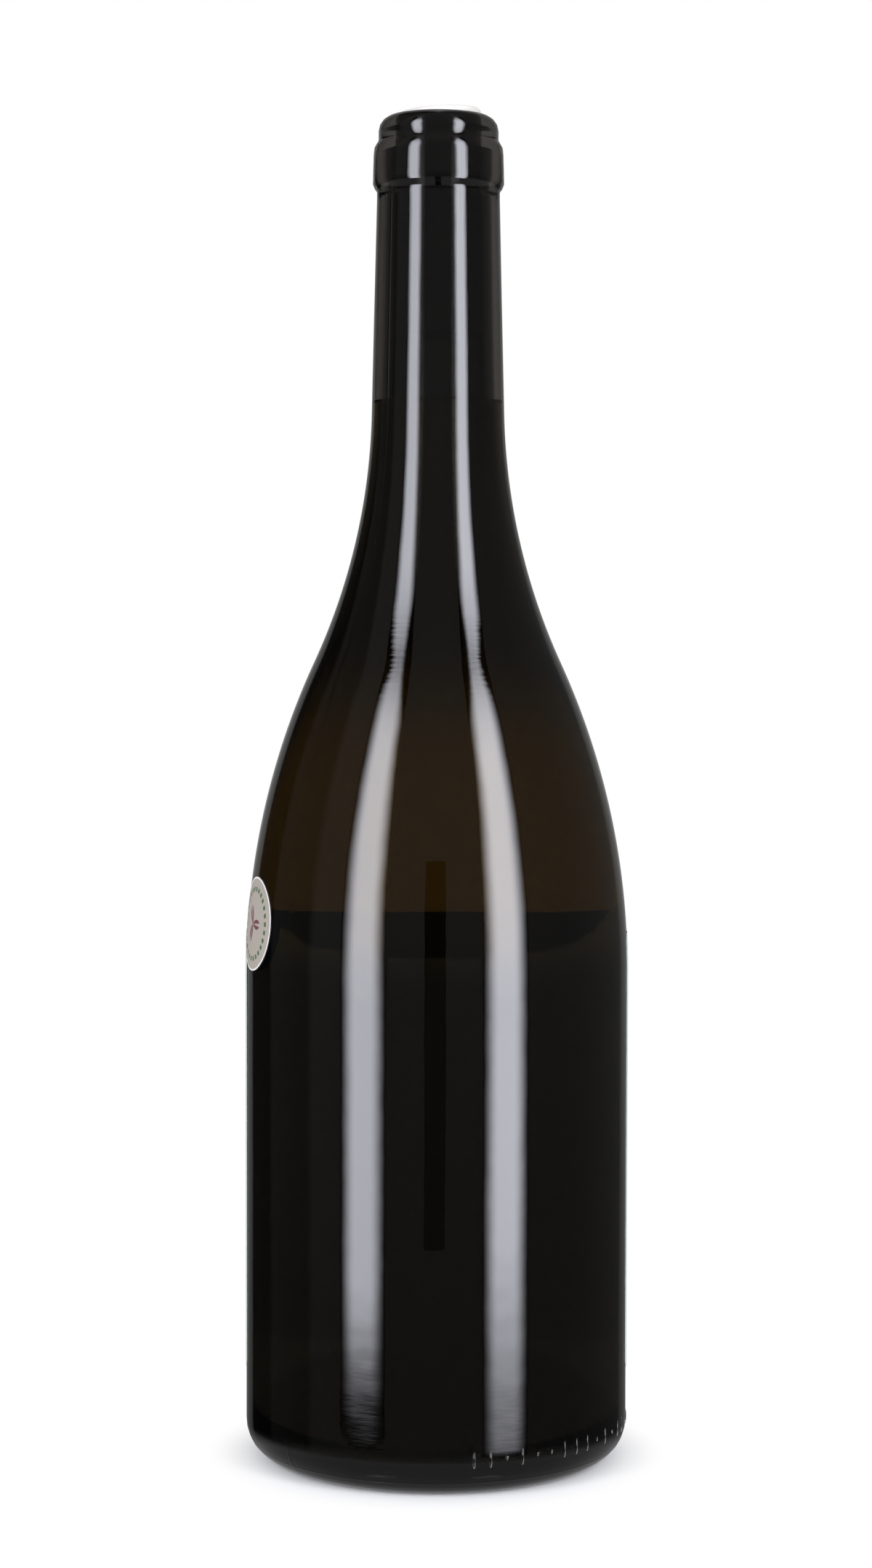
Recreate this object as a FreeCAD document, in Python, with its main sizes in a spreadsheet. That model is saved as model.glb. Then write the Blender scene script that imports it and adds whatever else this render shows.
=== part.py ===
import FreeCAD, Part

import math
import os

import Sketcher
from FreeCAD import Rotation, Vector

# A corked 75 cl wine bottle of the straight-sided, high-shouldered kind, with its wine,
# its stopper, its wrap-round label and a round sticker. Millimetres, +Z up. The origin is
# the centre of the ring that the bottle stands on. The label's middle faces +Y.

SIZES = [
    # glass, outside
    ("body_radius", 42.2, "radius of the straight body"),
    ("body_height", 107.4, "height at which the shoulder starts"),
    ("shoulder_rise", 122.7, "shoulder start to the foot of the neck"),
    ("shoulder_bulge", 163.0, "radius of the shoulder's outward curve"),
    ("neck_foot_radius", 14.6, "neck radius at its foot"),
    ("neck_top_radius", 13.45, "neck radius under the ring"),
    ("neck_length", 48.5, "foot of the neck to the underside of the ring"),
    ("heel_round", 8.0, "radius of the rounded heel"),
    # glass, finish
    ("ring_radius", 14.4, "radius of the ring under the lip"),
    ("ring_top_radius", 14.2, "radius of the ring where its top starts to round"),
    ("ring_under_rise", 1.8, "height of the ring's rounded underside"),
    ("ring_side_rise", 6.8, "height of the ring's side"),
    ("ring_top_rise", 2.1, "height of the ring's rounded top"),
    ("lip_radius", 13.15, "outside radius of the lip"),
    ("lip_height", 5.7, "ring to brim"),
    ("lip_round", 3.4, "radius of the lip's outer edge"),
    # glass, inside
    ("wall", 2.75, "thickness of the body's wall"),
    ("inner_heel_round", 8.0, "radius inside the heel"),
    ("base_thickness", 4.5, "glass under the wine, measured upwards"),
    ("punt_depth", 24.0, "height of the hollow under the base"),
    ("rest_ring_width", 3.2, "width of the flat ring the bottle stands on"),
    ("bore_foot_radius", 10.3, "bore radius at the foot of the neck"),
    ("bore_low_radius", 9.9, "bore radius where the stopper's seat ends"),
    ("bore_mouth_radius", 9.25, "bore radius at the mouth"),
    ("bore_seat_depth", 50.0, "depth of the stopper's seat below the brim"),
    # contents and stopper
    ("wine_gap", 0.05, "clearance between wine and glass"),
    ("wine_depth", 63.3, "brim to the surface of the wine"),
    ("cork_gap", 0.05, "clearance between stopper and bore"),
    ("cork_length", 49.0, "length of the stopper"),
    ("cork_proud", 1.0, "how far the stopper stands above the brim"),
    ("cork_tilt", 3.5, "tilt of the stopper's top, lower towards -X"),
    ("cork_bevel", 0.7, "bevel round the stopper's top"),
    # paper
    ("paper_gap", 0.05, "clearance between paper and glass"),
    ("paper_thickness", 0.14, "thickness of label and sticker"),
    ("label_foot", 20.0, "height of the label's lower edge"),
    ("label_height", 96.4, "height of the label"),
    ("label_wrap", 199.0, "angle that the label covers"),
    ("sticker_radius", 10.2, "radius of the round sticker"),
    ("sticker_height", 118.9, "height of the sticker's centre"),
    ("sticker_turn", 72.6, "angle of the sticker from -Y towards -X"),
    ("sticker_gap", 0.05, "clearance between the sticker and the label cut round it"),
]

doc = FreeCAD.newDocument("wine_bottle")


class Size:
    """A length that knows both its value and the expression that gives it."""

    def __init__(self, value, text):
        self.value = float(value)
        self.text = text

    def join(self, other, sign, value):
        """A new size from this one, a sign and another size or number."""
        other_text = other.text if isinstance(other, Size) else repr(other)
        return Size(value, f"({self.text} {sign} {other_text})")

    def __add__(self, other):
        return self.join(other, "+", self.value + number(other))

    def __sub__(self, other):
        return self.join(other, "-", self.value - number(other))


def number(size):
    """The plain value of a Size or of a number."""
    return size.value if isinstance(size, Size) else float(size)


def make_sheet():
    """Write every driving size into the sheet and return them by name."""
    sheet = doc.addObject("Spreadsheet::Sheet", "sizes")
    sizes = {}
    for row, (alias, value, meaning) in enumerate(SIZES, start=1):
        sheet.set(f"A{row}", meaning)
        sheet.set(f"B{row}", str(value))
        sheet.setAlias(f"B{row}", alias)
        sizes[alias] = Size(value, f"sizes.{alias}")
    doc.recompute()
    return sizes


size = make_sheet()
ZERO = Size(0.0, "0")
CUT_OVER = Size(5.0, "5")

# heights that several pieces share, all worked out from the sheet
shoulder_start = size["body_height"]
neck_foot = shoulder_start + size["shoulder_rise"]
neck_top = neck_foot + size["neck_length"]
ring_foot = neck_top + size["ring_under_rise"]
ring_side_top = ring_foot + size["ring_side_rise"]
lip_foot = ring_side_top + size["ring_top_rise"]
brim = lip_foot + size["lip_height"]
wine_level = brim - size["wine_depth"]
cork_top = brim + size["cork_proud"]
cork_bottom = cork_top - size["cork_length"]
rest_outer = size["body_radius"] - size["heel_round"]
rest_inner = rest_outer - size["rest_ring_width"]


def bind(target, path, value):
    """Tie one property of an object to a size's expression."""
    target.setExpression(path, value.text)


# --- outlines: closed chains of lines and arcs in a body's XZ plane ------------------------

def arc_shape(centre, start, end, ccw):
    """The arc round a centre from start to end, counter-clockwise or clockwise."""
    angle_start = math.atan2(start[1] - centre[1], start[0] - centre[0])
    angle_end = math.atan2(end[1] - centre[1], end[0] - centre[0])
    low, high = (angle_start, angle_end) if ccw else (angle_end, angle_start)
    if high < low:
        high += 2 * math.pi
    circle = Part.Circle(Vector(*centre, 0), Vector(0, 0, 1), math.dist(centre, start))
    return Part.ArcOfCircle(circle, low, high)


def centre_beside(upright, far):
    """Centre of the arc that leaves one point straight up or down and meets another."""
    across = upright[0] - far[0]
    rise = upright[1] - far[1]
    return upright[0] - (across ** 2 + rise ** 2) / (2 * across), upright[1]


class Outline:
    """A closed outline that starts on the axis and runs outwards, up and back to the axis.

    Corners are tied to the sheet by their distances from the axis and from the base. Where
    two arcs meet, and where an arc has no stated radius, tangency settles the shape.
    """

    def __init__(self, body, name):
        self.sketch = body.newObject("Sketcher::SketchObject", name)
        plane = [item for item in body.Origin.OriginFeatures if item.Role == "XZ_Plane"][0]
        self.sketch.AttachmentSupport = [(plane, "")]
        self.sketch.MapMode = "FlatFace"
        self.start_height = None
        self.here = None
        self.first_end = None
        self.last_end = None

    def start(self, height):
        """Begin on the axis at a height."""
        self.start_height = height
        self.here = (0.0, height.value)

    def pin(self, end, radius, height):
        """Tie one end of a piece to its distances from the axis and from the base."""
        for kind, axis, value in (("DistanceX", -2, radius), ("DistanceY", -1, height)):
            if value is ZERO:
                self.sketch.addConstraint(Sketcher.Constraint("PointOnObject", *end, axis))
            else:
                row = self.sketch.addConstraint(
                    Sketcher.Constraint(kind, -1, 1, *end, value.value))
                bind(self.sketch, f"Constraints[{row}]", value)

    def join(self, shape, near, far, smooth):
        """Add a piece and join it to the one before, at a corner or smoothly."""
        geometry = self.sketch.addGeometry(shape, False)
        if self.last_end is None:
            self.first_end = (geometry, near)
            self.pin(self.first_end, ZERO, self.start_height)
        else:
            kind = "Tangent" if smooth else "Coincident"
            self.sketch.addConstraint(
                Sketcher.Constraint(kind, *self.last_end, geometry, near))
        self.last_end = (geometry, far)
        return geometry

    def line(self, radius, height, smooth=False):
        """A straight line to a corner."""
        to = (radius.value, height.value)
        self.join(Part.LineSegment(Vector(*self.here, 0), Vector(*to, 0)), 1, 2, smooth)
        self.pin(self.last_end, radius, height)
        self.here = to

    def arc(self, centre, radius, height, ccw=True, smooth=False, arc_radius=None):
        """An arc to a corner, with its radius tied to the sheet or left to tangency."""
        to = (radius.value, height.value)
        near, far = (1, 2) if ccw else (2, 1)
        geometry = self.join(arc_shape(centre, self.here, to, ccw), near, far, smooth)
        self.pin(self.last_end, radius, height)
        if arc_radius is not None:
            self.tie_radius(geometry, arc_radius)
        self.here = to
        return geometry

    def tie_radius(self, geometry, arc_radius):
        """Tie an arc's radius to the sheet."""
        row = self.sketch.addConstraint(
            Sketcher.Constraint("Radius", geometry, arc_radius.value))
        bind(self.sketch, f"Constraints[{row}]", arc_radius)

    def dome(self, rim_radius, rim_height):
        """From the axis down to a rim, along a ball whose centre is on the axis."""
        rise = self.here[1] - rim_height.value
        ball = (rim_radius.value ** 2 + rise ** 2) / (2 * rise)
        centre = (0.0, self.here[1] - ball)
        geometry = self.arc(centre, rim_radius, rim_height, ccw=False)
        self.sketch.addConstraint(Sketcher.Constraint("PointOnObject", geometry, 3, -2))

    def shoulder(self, bulge, foot, top):
        """From the straight body to the foot of the neck, by two arcs.

        The first bulges outwards with a stated radius. The second is hollow: it is
        tangent to the first and to the neck's straight side from foot to top.
        """
        (foot_radius, foot_height), (top_radius, top_height) = foot, top
        side = (top_radius.value - foot_radius.value, top_height.value - foot_height.value)
        length = math.hypot(*side)
        out = (side[1] / length, -side[0] / length)
        radius = bulge.value
        centre = (self.here[0] - radius, self.here[1])
        reach = (foot_radius.value - centre[0], foot_height.value - centre[1])
        along = reach[0] * out[0] + reach[1] * out[1]
        hollow = (reach[0] ** 2 + reach[1] ** 2 - radius ** 2) / (2 * (radius - along))
        hollow_centre = (foot_radius.value + hollow * out[0],
                         foot_height.value + hollow * out[1])
        share = radius / (radius + hollow)
        meet = (centre[0] + share * (hollow_centre[0] - centre[0]),
                centre[1] + share * (hollow_centre[1] - centre[1]))
        geometry = self.join(arc_shape(centre, self.here, meet, True), 1, 2, True)
        self.tie_radius(geometry, bulge)
        self.here = meet
        self.arc(hollow_centre, foot_radius, foot_height, ccw=False, smooth=True)
        self.line(top_radius, top_height, smooth=True)

    def close(self):
        """Back down the axis to the start."""
        start = Vector(0, self.start_height.value, 0)
        self.join(Part.LineSegment(Vector(*self.here, 0), start), 1, 2, False)
        self.sketch.addConstraint(
            Sketcher.Constraint("Coincident", *self.last_end, *self.first_end))
        return self.sketch


def glass_outline(body):
    """The outside of the glass, from the punt under the base up to the brim."""
    outline = Outline(body, "glass_outline")
    outline.start(size["punt_depth"])
    outline.dome(rest_inner, ZERO)
    outline.line(rest_outer, ZERO)
    heel_centre = (rest_outer.value, size["heel_round"].value)
    outline.arc(heel_centre, size["body_radius"], size["heel_round"],
                arc_radius=size["heel_round"])
    outline.line(size["body_radius"], shoulder_start)
    outline.shoulder(size["shoulder_bulge"], (size["neck_foot_radius"], neck_foot),
                     (size["neck_top_radius"], neck_top))
    ring_corner = (size["ring_radius"].value, ring_foot.value)
    outline.arc(centre_beside(ring_corner, outline.here), size["ring_radius"], ring_foot)
    outline.line(size["ring_top_radius"], ring_side_top, smooth=True)
    lip_corner = (size["lip_radius"].value, lip_foot.value)
    outline.arc(centre_beside(outline.here, lip_corner), size["lip_radius"], lip_foot,
                smooth=True)
    lip_side_top = brim - size["lip_round"]
    lip_flat = size["lip_radius"] - size["lip_round"]
    outline.line(size["lip_radius"], lip_side_top)
    outline.arc((lip_flat.value, lip_side_top.value), lip_flat, brim,
                arc_radius=size["lip_round"])
    outline.line(ZERO, brim)
    return outline.close()


def cavity_outline(body, name, gap):
    """The inside of the glass, drawn in by a gap, from the base to above the brim."""
    inner_radius = size["body_radius"] - size["wall"] - gap
    valley_radius = size["body_radius"] - size["wall"] - size["inner_heel_round"]
    floor = size["base_thickness"] + gap
    heel_top = size["base_thickness"] + size["inner_heel_round"]
    above = brim + CUT_OVER
    outline = Outline(body, name)
    outline.start(size["punt_depth"] + floor)
    outline.dome(valley_radius, floor)
    outline.arc((valley_radius.value, heel_top.value), inner_radius, heel_top,
                arc_radius=size["inner_heel_round"] - gap)
    outline.line(inner_radius, shoulder_start)
    outline.shoulder(size["shoulder_bulge"] - size["wall"] - gap,
                     (size["bore_foot_radius"] - gap, neck_foot),
                     (size["bore_low_radius"] - gap, brim - size["bore_seat_depth"]))
    outline.line(size["bore_mouth_radius"] - gap, brim)
    outline.line(size["bore_mouth_radius"] - gap, above)
    outline.line(ZERO, above)
    return outline.close()


def skin_outline(body, name, lift):
    """The body and shoulder of the glass, drawn out by a lift, for what is stuck on it."""
    outline = Outline(body, name)
    outline.start(ZERO)
    outline.line(size["body_radius"] + lift, ZERO)
    outline.line(size["body_radius"] + lift, shoulder_start)
    outline.shoulder(size["shoulder_bulge"] + lift,
                     (size["neck_foot_radius"] + lift, neck_foot),
                     (size["neck_top_radius"] + lift, neck_top))
    outline.line(ZERO, neck_top)
    return outline.close()


# --- features ---------------------------------------------------------------------------

def new_body(label):
    """An empty body with a label."""
    body = doc.addObject("PartDesign::Body", label)
    body.Label = label
    return body


def turned(body, kind, name, sketch):
    """A Revolution or Groove of an outline, all the way round the axis."""
    feature = body.newObject(f"PartDesign::{kind}", name)
    feature.Profile = sketch
    feature.ReferenceAxis = (sketch, ["V_Axis"])
    feature.Angle = 360
    sketch.Visibility = False
    doc.recompute()
    return feature


def cut_disc(body, name, radius, foot, height, tilt=None):
    """Cut away a wide disc that stands on a height; the disc may be tilted about -Y."""
    disc = body.newObject("PartDesign::SubtractiveCylinder", name)
    if tilt is not None:
        disc.Placement = FreeCAD.Placement(Vector(), Rotation(Vector(0, -1, 0), tilt.value))
        bind(disc, "Placement.Rotation.Angle", tilt)
    bind(disc, "Radius", radius)
    bind(disc, "Height", height)
    bind(disc, "Placement.Base.z", foot)
    doc.recompute()
    return disc


def make_bottle():
    """The glass: blown shell with a punt, a rounded heel, a ring and a lip."""
    body = new_body("bottle")
    turned(body, "Revolution", "blown_glass", glass_outline(body))
    turned(body, "Groove", "inside", cavity_outline(body, "inside_outline", ZERO))
    return body


def make_wine():
    """The wine: fills the glass from its base up to the level in the neck."""
    body = new_body("wine")
    outline = cavity_outline(body, "wine_outline", size["wine_gap"])
    turned(body, "Revolution", "filled", outline)
    cut_disc(body, "headspace", size["body_radius"], wine_level, size["wine_depth"] + CUT_OVER)
    return body


def make_cork():
    """The stopper: fills the bore, stands a little proud and has a bevelled, tilted top."""
    body = new_body("cork")
    outline = cavity_outline(body, "cork_outline", size["cork_gap"])
    turned(body, "Revolution", "plug", outline)
    cut_disc(body, "below_cork", size["body_radius"], ZERO, cork_bottom)
    top = cut_disc(body, "above_cork", size["body_radius"], cork_top, size["body_radius"],
                   tilt=size["cork_tilt"])
    edges = top.Shape.Edges
    highest = max(range(len(edges)), key=lambda index: edges[index].CenterOfMass.z)
    bevel = body.newObject("PartDesign::Chamfer", "top_bevel")
    bevel.Base = (top, [f"Edge{highest + 1}"])
    bind(bevel, "Size", size["cork_bevel"])
    doc.recompute()
    return body


def make_paper():
    """The label round the back and the round sticker, cut from one thin skin."""
    skin = new_body("paper_skin")
    outside = skin_outline(skin, "skin_outside", size["paper_gap"] + size["paper_thickness"])
    turned(skin, "Revolution", "skin_solid", outside)
    inside = skin_outline(skin, "skin_inside", size["paper_gap"])
    turned(skin, "Groove", "skin_hollow", inside)
    sector = doc.addObject("Part::Cylinder", "label_sector")
    sector.Placement = FreeCAD.Placement(Vector(), Rotation(Vector(0, 0, 1), 1))
    bind(sector, "Radius", size["body_radius"] + CUT_OVER)
    bind(sector, "Height", size["label_height"])
    bind(sector, "Angle", size["label_wrap"])
    bind(sector, "Placement.Base.z", size["label_foot"])
    sector.setExpression("Placement.Rotation.Angle", "90 - sizes.label_wrap / 2")
    wrap = combine("Part::Common", "label_wrap_round", skin, sector)
    hole = sticker_punch("sticker_hole", size["sticker_radius"] + size["sticker_gap"])
    label = combine("Part::Cut", "label", wrap, hole)
    punch = sticker_punch("sticker_outline", size["sticker_radius"])
    sticker = combine("Part::Common", "sticker", skin, punch)
    return label, sticker


def sticker_punch(name, radius):
    """A round bar from the axis out through the sticker's place."""
    bar = doc.addObject("Part::Cylinder", name)
    bind(bar, "Radius", radius)
    bind(bar, "Height", size["body_radius"] + CUT_OVER)
    bar.setExpression("Placement", "placement(vector(0; 0; sizes.sticker_height); "
                      "rotationz(-sizes.sticker_turn) * rotationx(90))")
    return bar


def combine(kind, label, base, tool):
    """A boolean of two objects."""
    result = doc.addObject(kind, label)
    result.Label = label
    result.Base = base
    result.Tool = tool
    doc.recompute()
    return result


def check_document():
    """Stop if anything in the document failed."""
    for item in doc.Objects:
        if "Invalid" in item.State or "Error" in item.State:
            raise RuntimeError(f"{item.Name} failed: {item.State}")


def write_parts(parts):
    """Write each sub-part to its own file, named by its label."""
    os.makedirs("parts", exist_ok=True)
    for part in parts:
        shape = part.Shape
        if shape.isNull() or not shape.isValid() or len(shape.Solids) != 1:
            raise RuntimeError(f"{part.Label} is not one valid solid")
        box = shape.BoundBox
        print(f"{part.Label:8s} {shape.Volume / 1000:8.2f} cm3  "
              f"x {box.XMin:.2f} {box.XMax:.2f}  z {box.ZMin:.2f} {box.ZMax:.2f}")
        shape.exportStep(f"parts/{part.Label}.step")


bottle = make_bottle()
wine = make_wine()
cork = make_cork()
label, sticker = make_paper()
doc.recompute()
check_document()
write_parts([bottle, wine, cork, label, sticker])
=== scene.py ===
"""A corked wine bottle: dark glass, wine, stopper, blank wrap-round label and round sticker.

Every length is in metres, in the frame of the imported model: +Z up the bottle's axis, the
floor at zero, the middle of the label towards +Y. Angles round the bottle are measured from
-Y towards +X.
"""

import logging
import math
from dataclasses import dataclass, field
from enum import Enum

import bpy
import numpy as np
from mathutils import Matrix

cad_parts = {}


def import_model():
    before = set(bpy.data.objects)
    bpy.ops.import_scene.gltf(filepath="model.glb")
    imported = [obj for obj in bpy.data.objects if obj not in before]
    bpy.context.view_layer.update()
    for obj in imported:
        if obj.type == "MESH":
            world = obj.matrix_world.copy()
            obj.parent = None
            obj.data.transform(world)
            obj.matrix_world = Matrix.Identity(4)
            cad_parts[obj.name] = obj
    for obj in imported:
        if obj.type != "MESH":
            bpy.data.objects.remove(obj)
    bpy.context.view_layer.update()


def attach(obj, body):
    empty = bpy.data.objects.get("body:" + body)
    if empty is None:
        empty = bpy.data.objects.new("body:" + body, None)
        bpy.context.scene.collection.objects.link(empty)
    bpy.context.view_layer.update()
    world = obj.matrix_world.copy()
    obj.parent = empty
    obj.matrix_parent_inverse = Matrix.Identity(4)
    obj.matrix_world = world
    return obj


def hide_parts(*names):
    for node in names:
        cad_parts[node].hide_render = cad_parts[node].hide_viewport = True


MM = 0.001
BODY = "root"
SAME_PLACE = 1e-7
SHARPEST_BEND = 1500.0
FOCUS_WEIGHT = 25.0
PAPER_IOR = 1.46

log = logging.getLogger("bottle")


class Slot(Enum):
    """The record's material slots."""

    GLASS = "glass"
    WINE = "wine"
    STOPPER = "stopper"
    LABEL = "label_paper"
    STICKER = "sticker_paper"


# --- curves and surfaces -------------------------------------------------------------------


def arc_points(centre: tuple[float, float], radius: float, first: float, last: float,
               step: float) -> np.ndarray:
    """Points along an arc: centre + radius * (cos, sin) of evenly spaced angles.

    Args:
        centre: distance from the axis and height of the arc's centre.
        radius: the arc's radius.
        first: angle of the first point, in radians.
        last: angle of the last point, in radians.
        step: rough distance between points.

    Returns:
        An array of (distance from axis, height) rows.
    """
    count = max(3, int(abs(last - first) * radius / step) + 2)
    angle = np.linspace(first, last, count)
    return np.column_stack((centre[0] + radius * np.cos(angle),
                            centre[1] + radius * np.sin(angle)))


def line_points(start: tuple[float, float], end: tuple[float, float],
                step: float) -> np.ndarray:
    """Evenly spaced points from start to end: start * (1 - t) + end * t.

    Args:
        start: distance from the axis and height of the first point.
        end: distance from the axis and height of the last point.
        step: rough distance between points.

    Returns:
        An array of (distance from axis, height) rows.
    """
    count = max(2, int(math.dist(start, end) / step) + 2)
    share = np.linspace(0.0, 1.0, count)[:, None]
    return np.asarray(start) * (1.0 - share) + np.asarray(end) * share


def chain(*stretches: np.ndarray) -> np.ndarray:
    """Join stretches of points end to end, dropping points that repeat.

    Args:
        stretches: arrays of (distance from axis, height) rows.

    Returns:
        One array of rows.
    """
    points = np.concatenate(stretches)
    moved = np.hypot(*np.diff(points, axis=0).T) > SAME_PLACE
    return points[np.concatenate(([True], moved))]


def dome_points(top: float, rim_radius: float, rim_height: float,
                step: float) -> np.ndarray:
    """From the axis down a ball to a rim: the ball's radius is (a^2 + h^2) / 2h.

    Args:
        top: height of the dome's top, on the axis.
        rim_radius: the rim's distance from the axis, a above.
        rim_height: the rim's height, h below the top.
        step: rough distance between points.

    Returns:
        An array of (distance from axis, height) rows.
    """
    rise = top - rim_height
    ball = (rim_radius ** 2 + rise ** 2) / (2.0 * rise)
    end = math.atan2(rim_height - (top - ball), rim_radius)
    return arc_points((0.0, top - ball), ball, math.pi / 2.0, end, step)


def shoulder_points(start: tuple[float, float], bulge: float, foot: tuple[float, float],
                    top: tuple[float, float], step: float) -> np.ndarray:
    """Two arcs from the straight body to the foot of the neck.

    The first arc bulges with a given radius. The second is hollow and tangent to the
    first and to the neck's straight side, so its radius is
    (|d|^2 - b^2) / (2 (b - d.n)), where d runs from the first centre to the foot, b is
    the bulge and n is the side's outward normal.

    Args:
        start: where the straight body ends.
        bulge: radius of the first arc.
        foot: where the neck's straight side starts.
        top: another point on the neck's straight side.
        step: rough distance between points.

    Returns:
        Points from start to foot.
    """
    side = np.subtract(top, foot)
    out = np.array((side[1], -side[0])) / np.hypot(*side)
    centre = np.array((start[0] - bulge, start[1]))
    reach = np.asarray(foot) - centre
    hollow = (reach @ reach - bulge ** 2) / (2.0 * (bulge - reach @ out))
    far = np.asarray(foot) + hollow * out
    turn = math.atan2(far[1] - centre[1], far[0] - centre[0])
    rest = math.atan2(out[1], out[0])
    return chain(arc_points(tuple(centre), bulge, 0.0, turn, step),
                 arc_points(tuple(far), hollow, turn - math.pi, rest - math.pi, step))


def ease_corners(profile: np.ndarray, reach: float, step: float) -> np.ndarray:
    """Round every corner of a profile by averaging it over a short reach.

    Args:
        profile: rows of (distance from axis, height).
        reach: standard deviation of the averaging window.
        step: distance between the samples that are averaged.

    Returns:
        The eased profile, sampled at the step, with its two ends kept.
    """
    along = np.concatenate(([0.0], np.cumsum(np.hypot(*np.diff(profile, axis=0).T))))
    even = np.linspace(0.0, along[-1], int(along[-1] / step) + 2)
    fine = np.column_stack([np.interp(even, along, profile[:, k]) for k in range(2)])
    half = int(3.0 * reach / step) + 1
    window = np.exp(-0.5 * (np.arange(-half, half + 1) * step / reach) ** 2)
    window /= window.sum()
    padded = np.concatenate((2.0 * fine[0] - fine[half:0:-1], fine,
                             2.0 * fine[-1] - fine[-2:-half - 2:-1]))
    eased = np.column_stack([np.convolve(padded[:, k], window, "valid") for k in range(2)])
    eased[0], eased[-1] = fine[0], fine[-1]
    return eased


def place_rows(profile: np.ndarray, rows: int, bend_weight: float,
               focus: tuple[float, float] | None = None) -> np.ndarray:
    """Pick rows along a profile, closer together where it bends.

    The density is 1 + weight * |turn per length|, plus a bump round the focus height.

    Args:
        profile: finely sampled profile.
        rows: number of rows wanted.
        bend_weight: how strongly bends attract rows, in metres.
        focus: a height and a half width that also attract rows.

    Returns:
        The chosen rows.
    """
    step = np.hypot(*np.diff(profile, axis=0).T)
    along = np.concatenate(([0.0], np.cumsum(step)))
    heading = np.unwrap(np.arctan2(*np.diff(profile, axis=0).T[::-1]))
    bend = np.abs(np.gradient(heading, along[:-1] + step / 2.0))
    density = 1.0 + bend_weight * np.minimum(bend, SHARPEST_BEND)
    if focus is not None:
        middle = (profile[:-1, 1] + profile[1:, 1]) / 2.0
        density += FOCUS_WEIGHT * np.exp(-((middle - focus[0]) / focus[1]) ** 2)
    amount = np.concatenate(([0.0], np.cumsum(density * step)))
    wanted = np.interp(np.linspace(0.0, amount[-1], rows), amount, along)
    return np.column_stack([np.interp(wanted, along, profile[:, k]) for k in range(2)])


def fill_mesh(name: str, points: np.ndarray, quads: np.ndarray,
              triangles: np.ndarray) -> bpy.types.Mesh:
    """Put points, four-sided and three-sided faces into a smooth mesh.

    Args:
        name: the mesh's name.
        points: (n, 3) places.
        quads: (q, 4) point numbers.
        triangles: (t, 3) point numbers.

    Returns:
        The mesh.
    """
    mesh = bpy.data.meshes.new(name)
    corners = np.concatenate((quads.ravel(), triangles.ravel())).astype(np.int32)
    sides = np.concatenate((np.full(len(quads), 4), np.full(len(triangles), 3)))
    starts = np.concatenate(([0], np.cumsum(sides)[:-1])).astype(np.int32)
    mesh.vertices.add(len(points))
    mesh.vertices.foreach_set("co", points.astype(np.float32).ravel())
    mesh.loops.add(len(corners))
    mesh.loops.foreach_set("vertex_index", corners)
    mesh.polygons.add(len(sides))
    mesh.polygons.foreach_set("loop_start", starts)
    mesh.polygons.foreach_set("use_smooth", np.ones(len(sides), dtype=bool))
    mesh.update(calc_edges=True)
    mesh.validate()
    return mesh


def map_points(mesh: bpy.types.Mesh, name: str, places: np.ndarray) -> None:
    """Give a mesh a UV map from one (u, v) place for each of its points.

    Args:
        mesh: the mesh.
        name: the map's name.
        places: (n, 2) values, in the order of the mesh's points.
    """
    corner = np.empty(len(mesh.loops), dtype=np.int32)
    mesh.loops.foreach_get("vertex_index", corner)
    uv_map = mesh.uv_layers.new(name=name)
    uv_map.data.foreach_set("uv", places[corner].astype(np.float32).ravel())


def turned_mesh(name: str, profile: np.ndarray, angles: np.ndarray,
                relief: np.ndarray | None = None) -> bpy.types.Mesh:
    """Carry a profile that starts and ends on the axis all the way round it.

    A point is (r sin a, -r cos a, z), with r the profile's distance plus the relief.

    Args:
        name: the mesh's name.
        profile: rows of (distance from axis, height); the first and last are poles.
        angles: the columns' angles, in radians, rising through one turn.
        relief: distance added to r, one value for each row between the poles and column.

    Returns:
        A closed mesh whose faces point out of the profile's left-hand side.
    """
    ring = profile[1:-1]
    reach = np.repeat(ring[:, :1], len(angles), axis=1)
    if relief is not None:
        reach = reach + relief
    height = np.repeat(ring[:, 1:], len(angles), axis=1)
    grid = np.stack((reach * np.sin(angles), -reach * np.cos(angles), height), axis=-1)
    poles = np.array([(0.0, 0.0, profile[0, 1]), (0.0, 0.0, profile[-1, 1])])
    points = np.concatenate((grid.reshape(-1, 3), poles))
    number = np.arange(grid.shape[0] * grid.shape[1]).reshape(grid.shape[:2])
    beside = np.roll(number, -1, axis=1)
    quads = np.stack((number[:-1], beside[:-1], beside[1:], number[1:]), axis=-1)
    first, last = number.size, number.size + 1
    pole = np.full(len(angles), first)
    low = np.stack((pole, beside[0], number[0]), axis=-1)
    high = np.stack((number[-1], beside[-1], np.full(len(angles), last)), axis=-1)
    return fill_mesh(name, points, quads.reshape(-1, 4), np.concatenate((low, high)))


def even_turn(columns: int) -> np.ndarray:
    """Evenly spaced angles round one turn."""
    return np.arange(columns) * (2.0 * math.pi / columns)


def add_piece(name: str, mesh: bpy.types.Mesh, material: bpy.types.Material, slot: Slot,
              *replaced: str) -> bpy.types.Object:
    """Link a finished mesh, dress it and tie it to the frame.

    Args:
        name: the piece's name.
        mesh: its mesh, in place.
        material: its finish.
        slot: the record's slot that the finish belongs to; not used.
        replaced: the nodes that the piece stands for.

    Returns:
        The new object.
    """
    piece = bpy.data.objects.new(name, mesh)
    mesh.materials.append(material)
    bpy.context.scene.collection.objects.link(piece)
    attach(piece, BODY)
    if replaced:
        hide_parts(*replaced)
    log.info("%s: %d faces", name, len(mesh.polygons))
    return piece


# --- shader parts --------------------------------------------------------------------------


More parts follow.
